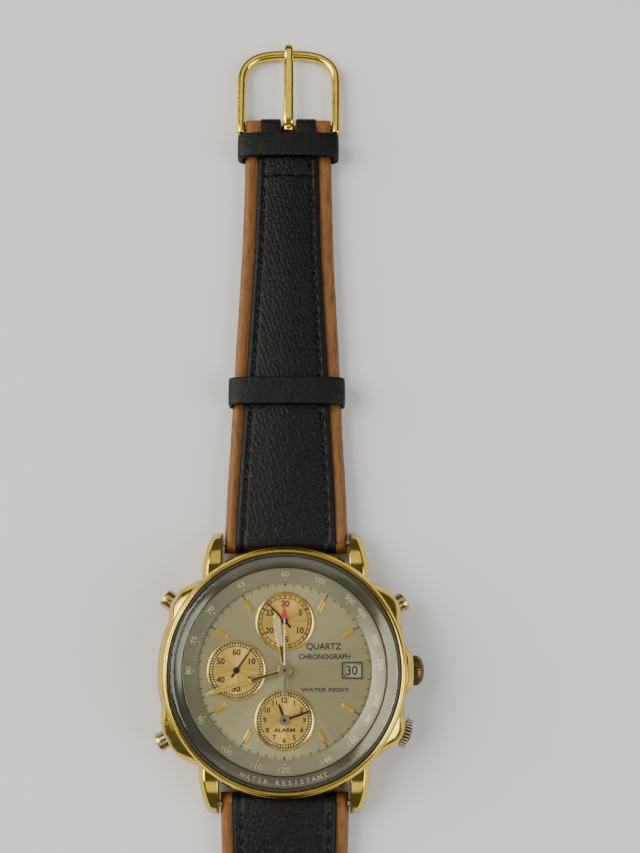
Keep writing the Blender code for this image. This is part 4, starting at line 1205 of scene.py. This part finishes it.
def padding_top(rows, way, x, y, cross=None):
    """Height of the padded panel at x, y, without its grain."""
    _, _, base, top = strap_at(rows, y)
    half = panel_half(rows, y, way)
    inset = np.clip(half - np.abs(x), 0, None)
    rise = top - base
    shoulder = np.sqrt(np.clip(1 - (1 - np.clip(inset / 0.6, 0, 1)) ** 2, 0, 1))
    crown = np.clip(inset / half, 0, 1)
    crown = np.sin(crown * math.pi / 2)
    height = base - 0.15 + 0.15 * shoulder + rise * (0.5 * shoulder + 0.5 * crown)
    height = height - sewn_groove(inset - STITCH_IN, y / STITCH)
    if cross:
        height = height - sewn_groove(y - cross, x / STITCH + 0.5) * (inset > STITCH_IN - 0.1)
    return height


def make_padding(name, rows, way, end, cross, replaces):
    """The grained black panel of a strap half, crowned between its stitched edges."""
    ys = np.linspace(BAR_Y, end, int((end - BAR_Y) / 0.19))
    share = np.linspace(-1, 1, 84)
    share = np.sign(share) * (1 - (1 - np.abs(share)) ** 1.12)
    half = panel_half(rows, ys, way)
    x = half[:, None] * share[None, :]
    y = np.repeat(ys[:, None], len(share), 1)
    z = padding_top(rows, way, x.ravel(), y.ravel(), cross).reshape(x.shape)
    inset = half[:, None] - np.abs(x)
    rough = np.clip((inset - STITCH_IN - 0.15) / 0.35, 0, 1) * 0.85 + 0.15
    ends = np.clip((y - BAR_Y) / 0.8, 0, 1) * np.clip((end - y) / 0.8, 0, 1)
    z = z + 0.115 * pebbles(x, y) * rough * ends + 0.015 * ripple(x, y, 1.9, 5) * rough
    z = z - 0.25 * (1 - np.clip((end - y) / 0.5, 0, 1))
    under = np.linspace(1, -1, 8)
    bx = half[:, None] * under[None, :]
    bz = np.repeat((strap_at(rows, ys)[2] - 0.3)[:, None], len(under), 1)
    by = np.repeat(ys[:, None], len(under), 1)
    x, y, z = np.hstack((x, bx)), np.hstack((y, by)), np.hstack((z, bz))
    turns = np.radians(np.linspace(WRAP_ANGLE, 3.0, 26))
    lift = np.broadcast_to(z[0] - BAR_Z, (len(turns), z.shape[1]))
    lift = np.maximum(lift, WRAP_INSIDE)
    x = np.vstack((np.repeat(x[:1], len(turns), 0), x))
    y = np.vstack((BAR_Y - lift * np.sin(turns)[:, None], y))
    z = np.vstack((BAR_Z + lift * np.cos(turns)[:, None], z))
    mesh = solid_from_rows(name, x, way * y, z)
    return finish(name, mesh, "padding_leather", None, replaces, 60)


def make_lining(name, rows, way, end, replaces, round_end):
    """The tan layer under the panel. Its edges roll up beside the panel."""
    turns = np.linspace(0.12, 1.0, 9)[1:]
    sections = [(BAR_Y - LUG_ROUND * t, (BAR_Z, LUG_ROUND, t)) for t in reversed(turns * 0.985)]
    sections += [(y, None) for y in np.linspace(BAR_Y, end, int((end - BAR_Y) / 0.6))]
    if round_end:
        more = [
            (BUCKLE_BAR_Y + round_end * t * 0.985, (BUCKLE_BAR_Z, round_end, t * 0.985))
            for t in [0.0, *turns]
        ]
        sections += more
    loops_x, loops_y, loops_z = [], [], []
    for y, bend in sections:
        width, low, high, _ = strap_at(rows, np.array([y]))[:, 0]
        if bend:
            middle, radius, t = bend
            tall = radius * math.sqrt(max(0.0, 1 - t * t))
            low, high = middle - tall, middle + tall
        half = width / 2
        thick = high - low
        edge = min(0.95, half * 0.6)
        arc = [math.pi * a / 16 for a in range(9)]
        sag = 0.0 if bend else 0.22
        margin = float(margin_at(y, way))
        right = [
            (half - edge * 0.7 + edge * 0.7 * math.sin(a), low + 0.4 * thick * (1 - math.cos(a)))
            for a in arc
        ]
        right += [
            (half - edge + edge * math.cos(a), low + 0.4 * thick + 0.6 * thick * math.sin(a)) for a in arc
        ]
        inner = max(half - margin + 0.05, 0.1)
        right += [(half - edge - (half - edge - inner) * s, high - sag * s * s) for s in (0.35, 0.7, 1.0)]
        right += [(inner * s, high - sag) for s in (0.6, 0.25)]
        left = [(-px, pz) for px, pz in reversed(right)]
        section = right + left
        loops_x.append([p[0] for p in section])
        loops_z.append([p[1] for p in section])
        loops_y.append([y] * len(section))
    x, y, z = (np.array(each) for each in (loops_x, loops_y, loops_z))
    wave = 0.03 * ripple(y + np.sign(x) * 40, y * 0, 1.3, 7)
    wave = wave + 0.05 * ripple(y + np.sign(x) * 90, y * 0, 6.0, 8)
    x = x + np.sign(x) * wave * np.clip(np.abs(x) - 3, 0, 1)
    mesh = solid_from_rows(name, x, way * y, z)
    return finish(name, mesh, "tan_leather", None, replaces, 50)


def stitch(bm, first, second, radius=0.18):
    """One sewn stitch: a plump thread that dives into the leather at both ends."""
    a, b = Vector(first), Vector(second)
    along = (b - a).normalized()
    side = along.cross(Vector((0, 0, 1))).normalized()
    loops = []
    for t in (0.0, 0.06, 0.16, 0.3, 0.5, 0.7, 0.84, 0.94, 1.0):
        rise = 0.16 * math.sin(math.pi * t) ** 0.5 - 0.14
        middle = a.lerp(b, t) + Vector((0, 0, rise))
        size = radius * (0.55 + 0.45 * math.sin(math.pi * t) ** 0.5)
        ringed = []
        for corner in range(8):
            turn = math.pi * corner / 4
            ringed.append(middle + side * size * math.cos(turn) + Vector((0, 0, size * math.sin(turn))))
        loops.append(ringed)
    tube_grid(bm, loops)


def make_stitches(name, rows, way, end, cross):
    bm = bmesh.new()
    gap = 0.16 * STITCH
    last = cross if cross else end
    first = math.ceil(STITCH_START / STITCH)
    for index in range(first, int(last / STITCH)):
        y0, y1 = index * STITCH + gap, (index + 1) * STITCH - gap
        if y1 > last:
            break
        for side in (-1, 1):
            ends = []
            for y in (y0, y1):
                x = side * float(panel_half(rows, np.array([y]), way)[0] - STITCH_IN)
                lean = 0.05 * (1 if y == y0 else -1)
                z = float(padding_top(rows, way, np.array([x]), np.array([(y0 + y1) / 2]), cross)[0])
                ends.append((x + lean, way * y, z + 0.12))
            stitch(bm, *ends)
    if cross:
        half = float(panel_half(rows, np.array([cross]), way)[0] - STITCH_IN)
        count = int(half / STITCH + 0.5)
        for index in range(-count, count + 1):
            x0, x1 = (index - 0.5) * STITCH + gap, (index + 0.5) * STITCH - gap
            if max(abs(x0), abs(x1)) > half + 0.2:
                continue
            middle = np.array([0.5 * (x0 + x1)])
            z = float(padding_top(rows, way, middle, np.array([cross]), cross)[0]) + 0.12
            stitch(bm, (x0, way * cross, z), (x1, way * cross, z))
    return finish(name, bm, "thread", None, (), 60)


def bend_over(pieces):
    for piece in pieces:
        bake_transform(piece)


BUCKLE_WRAP = 1.53
HOLES = 7
HOLE_START, HOLE_PITCH, HOLE_RADIUS = 90.0, 5.5, 0.95


def end_wrap():
    """The black skin carried over the buckle bar, split for the tongue."""
    bm = bmesh.new()
    path = [(90.6, 3.06), (91.3, 3.16), (92.0, 3.24), (92.8, BUCKLE_BAR_Z + BUCKLE_WRAP)]
    for turn in np.linspace(0.25, 2.4, 9):
        path.append(
            (BUCKLE_BAR_Y + BUCKLE_WRAP * math.sin(turn), BUCKLE_BAR_Z + BUCKLE_WRAP * math.cos(turn))
        )
    for side in (-1, 1):
        loops = []
        for index, (y, z) in enumerate(path):
            before, after = path[max(0, index - 1)], path[min(len(path) - 1, index + 1)]
            normal = Vector((0, -(after[1] - before[1]), after[0] - before[0])).normalized()
            ringed = []
            for x, lift in rounded_loop(rectangle(1.38, -0.12, 4.75, 0.12), 0.11, 3):
                ringed.append(Vector((side * x, y, z)) + normal * lift)
            loops.append(ringed)
        tube_grid(bm, loops)
    return finish("strap_12_end_wrap", bm, "keeper_leather", "strap_12_far", (), 50)


def strap_half(hour, rows, way, lining_end, panel_end, sewn_end, cross=None, round_end=0.0):
    """Lining, panel and stitching of one half. They ride on no body."""
    parts = {
        layer: [f"strap_{hour}_{layer}_near", f"strap_{hour}_{layer}_far"]
        for layer in ("lining", "padding")
    }
    return [
        make_lining(f"strap_{hour}_lining", rows, way, lining_end, parts["lining"], round_end),
        make_padding(f"strap_{hour}_panel", rows, way, panel_end, cross, parts["padding"]),
        make_stitches(f"strap_{hour}_stitching", rows, way, sewn_end, cross),
    ]


def make_straps():
    short = strap_half(12, SHORT_ROWS, 1, 91.6, 90.9, 90.6, 83.6, BUCKLE_ROUND)
    lining = short[0]
    slot = rounded_loop(rectangle(-1.25, 90.9, 1.25, 95.6), 0.4, 4)
    cut_slot = bmesh.new()
    slab(cut_slot, slot, -1.0, 5.0)
    bore = [(0, -12), (0.62, -12), (0.62, 12), (0, 12)]
    cut(lining, cut_slot, lathe(bore, 32, along_x(BUCKLE_BAR_Y, BUCKLE_BAR_Z)))
    bend_over(short)
    end_wrap()

    long = strap_half(6, LONG_ROWS, -1, 135.3, 133.0, 128.0)
    for piece in long[:2]:
        holes = bmesh.new()
        for index in range(HOLES):
            place = Matrix.Translation((0, -(HOLE_START + HOLE_PITCH * index), 0))
            lathe([(0, -1), (HOLE_RADIUS, -1), (HOLE_RADIUS, 5), (0, 5)], 32, place, holes)
        cut(piece, holes)
    bend_over(long)

    for hour, way in ((12, 1), (6, -1)):
        bar = [
            (0, -11.3), (0.36, -11.3), (0.4, -11.2), (0.4, -10.1), (0.58, -10.1), (0.62, -10.05),
            (0.62, 10.05)
        ]
        bar += [(0.58, 10.1), (0.4, 10.1), (0.4, 11.2), (0.36, 11.3), (0, 11.3)]
        shape = lathe(bar, 32, along_x(way * BAR_Y, BAR_Z))
        finish(f"strap_bar_{hour}", shape, "steel", "case", [f"spring_bar_{hour}"], 30)


def keeper(name, node, body, middle, width, half, side, low, high, crown):
    """A loop of folded leather: soft edges and a slight crown."""
    loops = []
    count = 160
    centre_z, tall = (low + high) / 2, (high - low) / 2
    section = rounded_loop(rectangle(-0.47, -width / 2, 0.47, width / 2), 0.3, 4)
    fine = []
    for a, b in zip(section, section[1:] + section[:1]):
        pieces = max(1, int(math.dist(a, b) / 0.35))
        fine += [
            (a[0] + (b[0] - a[0]) * s / pieces, a[1] + (b[1] - a[1]) * s / pieces) for s in range(pieces)
        ]
    for index in range(count):
        t = 2 * math.pi * index / count
        c, s = math.cos(t), math.sin(t)
        x = (half + side / 2) * math.copysign(abs(c) ** 0.30, c)
        z = centre_z + (tall + 0.48) * math.copysign(abs(s) ** 0.40, s)
        if s > 0:
            z -= crown * (x / half) ** 2 * abs(s) ** 0.4
        loops.append((x, z))
    rings = []
    for index, (x, z) in enumerate(loops):
        before, after = loops[index - 1], loops[(index + 1) % count]
        normal = Vector((after[1] - before[1], 0, -(after[0] - before[0]))).normalized()
        c = math.cos(2 * math.pi * index / count)
        ringed = []
        for out, y in fine:
            swell = 0.05 * math.cos(math.pi * y / width)
            thin = 1 + (side - 1) * abs(c) ** 3
            ringed.append(Vector((x, middle + y, z)) + normal * (out * thin + math.copysign(swell, out)))
        rings.append(ringed)
    bm = tube_grid(bmesh.new(), rings, closed=True)
    return finish(name, bm, "keeper_leather", body, [node], 60)


# ---------------------------------------------------------------- buckle


FRAME_END_Y = 107.08


def make_buckle():
    path = [(8.22, 91.6), (8.27, 92.8), (8.3, 96.5), (8.3, 100.5), (8.25, 102.5), (7.98, 103.8)]
    path += [(7.4, 104.9), (6.4, 105.85), (4.9, 106.6), (2.7, 107.0), (0.0, FRAME_END_Y)]
    path = [*path, *[(-x, y) for x, y in reversed(path[:-1])]]
    line = through(path, 6)
    loops = []
    for index, (x, y) in enumerate(line):
        before, after = line[max(0, index - 1)], line[min(len(line) - 1, index + 1)]
        along = Vector((after[0] - before[0], after[1] - before[1], 0)).normalized()
        side = Vector((along.y, -along.x, 0))
        share = max(0.0, (y - BUCKLE_BAR_Y) / (FRAME_END_Y - BUCKLE_BAR_Y))
        z = BUCKLE_BAR_Z - 0.85 * share
        end = min(index, len(line) - 1 - index)
        size = (0.72, 0.9, 0.98)[end] if end < 3 else 1.0
        wide, tall = (0.74 + 0.09 * share) * size, (1.0 - 0.1 * share) * size
        ringed = []
        for corner in range(28):
            turn = 2 * math.pi * corner / 28
            c, s = math.cos(turn), math.sin(turn)
            bulge = 1.0 if s > 0 else 0.92
            offset = side * wide * math.copysign(abs(c) ** 0.85, c)
            ringed.append(Vector((x, y, z + tall * bulge * math.copysign(abs(s) ** 0.85, s))) + offset)
        loops.append(ringed)

    def frame_wear(spots):
        return 0.2 * np.clip((spots[:, 1] - 103) / 3, 0, 1) + 0.06

    shape = tube_grid(bmesh.new(), loops)
    node = ["buckle_frame"]
    finish("buckle_loop", shape, "buckle_gold", "buckle_frame", node, 45, frame_wear)
    place = along_x(BUCKLE_BAR_Y, BUCKLE_BAR_Z)
    bar = [(0, -8.4), (0.5, -8.4), (0.55, -8.3), (0.55, 8.3), (0.5, 8.4), (0, 8.4)]
    finish(
        "buckle_bar", lathe(bar, 32, place), "old_brass", "buckle_frame", ["buckle_spring_bar"],
        30
    )

    knuckle = [(0.6, -0.95), (0.82, -0.93), (1.0, -0.8), (1.12, -0.58), (1.2, -0.3), (1.22, 0)]
    knuckle += [(radius, -along) for radius, along in reversed(knuckle[:-1])]
    eye = lathe(knuckle, 48, place)
    finish("buckle_pin_eye", eye, "buckle_gold", "buckle_tongue", (), 50, even_wear(0.06))
    bm = bmesh.new()
    rows = [
        (93.3, 0.84, 1.75, 2.75), (94.0, 0.91, 2.05, 2.98), (95.2, 0.92, 2.15, 3.05),
        (98.8, 0.91, 2.08, 2.98)
    ]
    rows += [
        (102.4, 0.89, 1.98, 2.9), (104.6, 0.87, 1.94, 2.84), (105.4, 0.76, 1.93, 2.80),
        (105.9, 0.72, 1.92, 2.78)
    ]
    rows += [(106.4, 0.78, 1.93, 2.82), (107.3, 0.78, 1.93, 2.84), (108.0, 0.72, 1.80, 2.66)]
    rows += [(108.5, 0.62, 1.5, 2.3), (108.85, 0.46, 1.42, 2.0)]
    loops = []
    for y, half, low, high in through(rows, 4):
        middle, tall = (low + high) / 2, (high - low) / 2
        ringed = []
        for corner in range(20):
            turn = 2 * math.pi * corner / 20
            c, s = math.cos(turn), math.sin(turn)
            flat = 0.45 if s < 0 else 0.8
            out, up = half * math.copysign(abs(c) ** 0.7, c), tall * math.copysign(abs(s) ** flat, s)
            ringed.append((out, y, middle + up))
        loops.append(ringed)
    tube_grid(bm, loops)
    node = ["buckle_tongue"]
    finish("buckle_pin", bm, "buckle_gold", "buckle_tongue", node, 50, even_wear(0.06))


# ---------------------------------------------------------------- everything

make_case()
make_controls()
make_dial()
make_subdial_prints()
make_ring_prints()
make_hands()
make_straps()
keeper("keeper_fixed", "fixed_keeper", "strap_12_far", 88.8, 4.3, 7.75, 1.0, 1.10, 3.80, 0.35)
keeper("keeper_sliding", "sliding_keeper", "sliding_keeper", 45.15, 4.6, 9.10, 0.55, 1.10, 4.85, 0.35)
make_buckle()

INSIDE = {
    "alarm_buzzer": "brass",
    "alarm_crown_clutch_wheel": "steel",
    "battery": "steel",
    "battery_clamp": "steel",
    "case_back_gasket": "rubber",
    "circuit_board": "board",
    "crown_clutch_wheel": "steel",
    "hour_wheel": "brass",
    "main_plate": "brass",
    "minute_arbor_and_wheel": "brass",
    "minute_wheel": "brass",
    "motor_coil": "copper",
    "movement_holder": "plastic",
    "quartz_crystal": "steel",
    "small_seconds_arbor": "steel",
    "third_wheel": "brass",
    "train_bridge": "brass",
    "alarm_pusher_tube": "steel",
    "split_reset_pusher_tube": "steel",
    "start_stop_pusher_tube": "steel",
}
for node, look in INSIDE.items():
    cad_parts[node].data.materials.clear()
    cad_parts[node].data.materials.append(LOOKS[look])


# ---------------------------------------------------------------- stage, light and camera

# These are in metres.
FLOOR_HALF, FLOOR_Z = 1.6, -0.00003
CAMERA_AT = (0.0055, 0.0, 0.2023)
CAMERA_TILT = 11.22


def make_stage():
    mesh = bpy.data.meshes.new("floor")
    corners = [(x, y, FLOOR_Z) for x, y in rectangle(-FLOOR_HALF, -FLOOR_HALF, FLOOR_HALF, FLOOR_HALF)]
    mesh.from_pydata(corners, [], [(0, 1, 2, 3)])
    floor = bpy.data.objects.new("floor", mesh)
    bpy.context.scene.collection.objects.link(floor)
    surface = Nodes("floor_paper", Roughness=0.85)
    surface.set("Base Color", (0.72, 0.72, 0.71))
    mesh.materials.append(surface.material)


def area_light(name, spot, target, size, power, colour):
    data = bpy.data.lights.new(name, "AREA")
    data.shape = "RECTANGLE"
    data.size, data.size_y = size
    data.energy = power
    data.color = colour
    lamp = bpy.data.objects.new(name, data)
    bpy.context.scene.collection.objects.link(lamp)
    lamp.location = spot
    lamp.rotation_euler = (Vector(target) - Vector(spot)).to_track_quat("-Z", "Y").to_euler()


def make_light():
    world = bpy.data.worlds.new("studio")
    world.use_nodes = True
    back = world.node_tree.nodes["Background"]
    back.inputs["Color"].default_value = (0.80, 0.82, 0.85, 1.0)
    back.inputs["Strength"].default_value = 0.14
    bpy.context.scene.world = world
    area_light("key", (-0.95, 0.16, 0.74), (0, 0.02, 0), (1.0, 1.2), 26.0, (1.0, 0.96, 0.89))
    area_light("fill", (0.72, -0.22, 0.55), (0, 0.02, 0), (0.60, 0.70), 7.0, (0.96, 0.98, 1.0))
    area_light("top", (0.0, 0.58, 0.95), (0, 0.10, 0), (0.80, 0.62), 1.35, (1.0, 0.98, 0.93))
    area_light("foot", (0.0, -0.52, 0.95), (0, -0.02, 0), (0.75, 0.42), 0.95, (1.0, 0.98, 0.93))


def make_camera():
    data = bpy.data.cameras.new("camera")
    data.lens = 51.9
    data.sensor_width = 36.0
    data.sensor_fit = "AUTO"
    data.clip_start = 0.005
    data.clip_end = 20.0
    camera = bpy.data.objects.new("camera", data)
    bpy.context.scene.collection.objects.link(camera)
    camera.matrix_world = Matrix.Translation(CAMERA_AT) @ Matrix.Rotation(math.radians(CAMERA_TILT), 4, "X")
    bpy.context.scene.camera = camera


make_stage()
make_light()
make_camera()
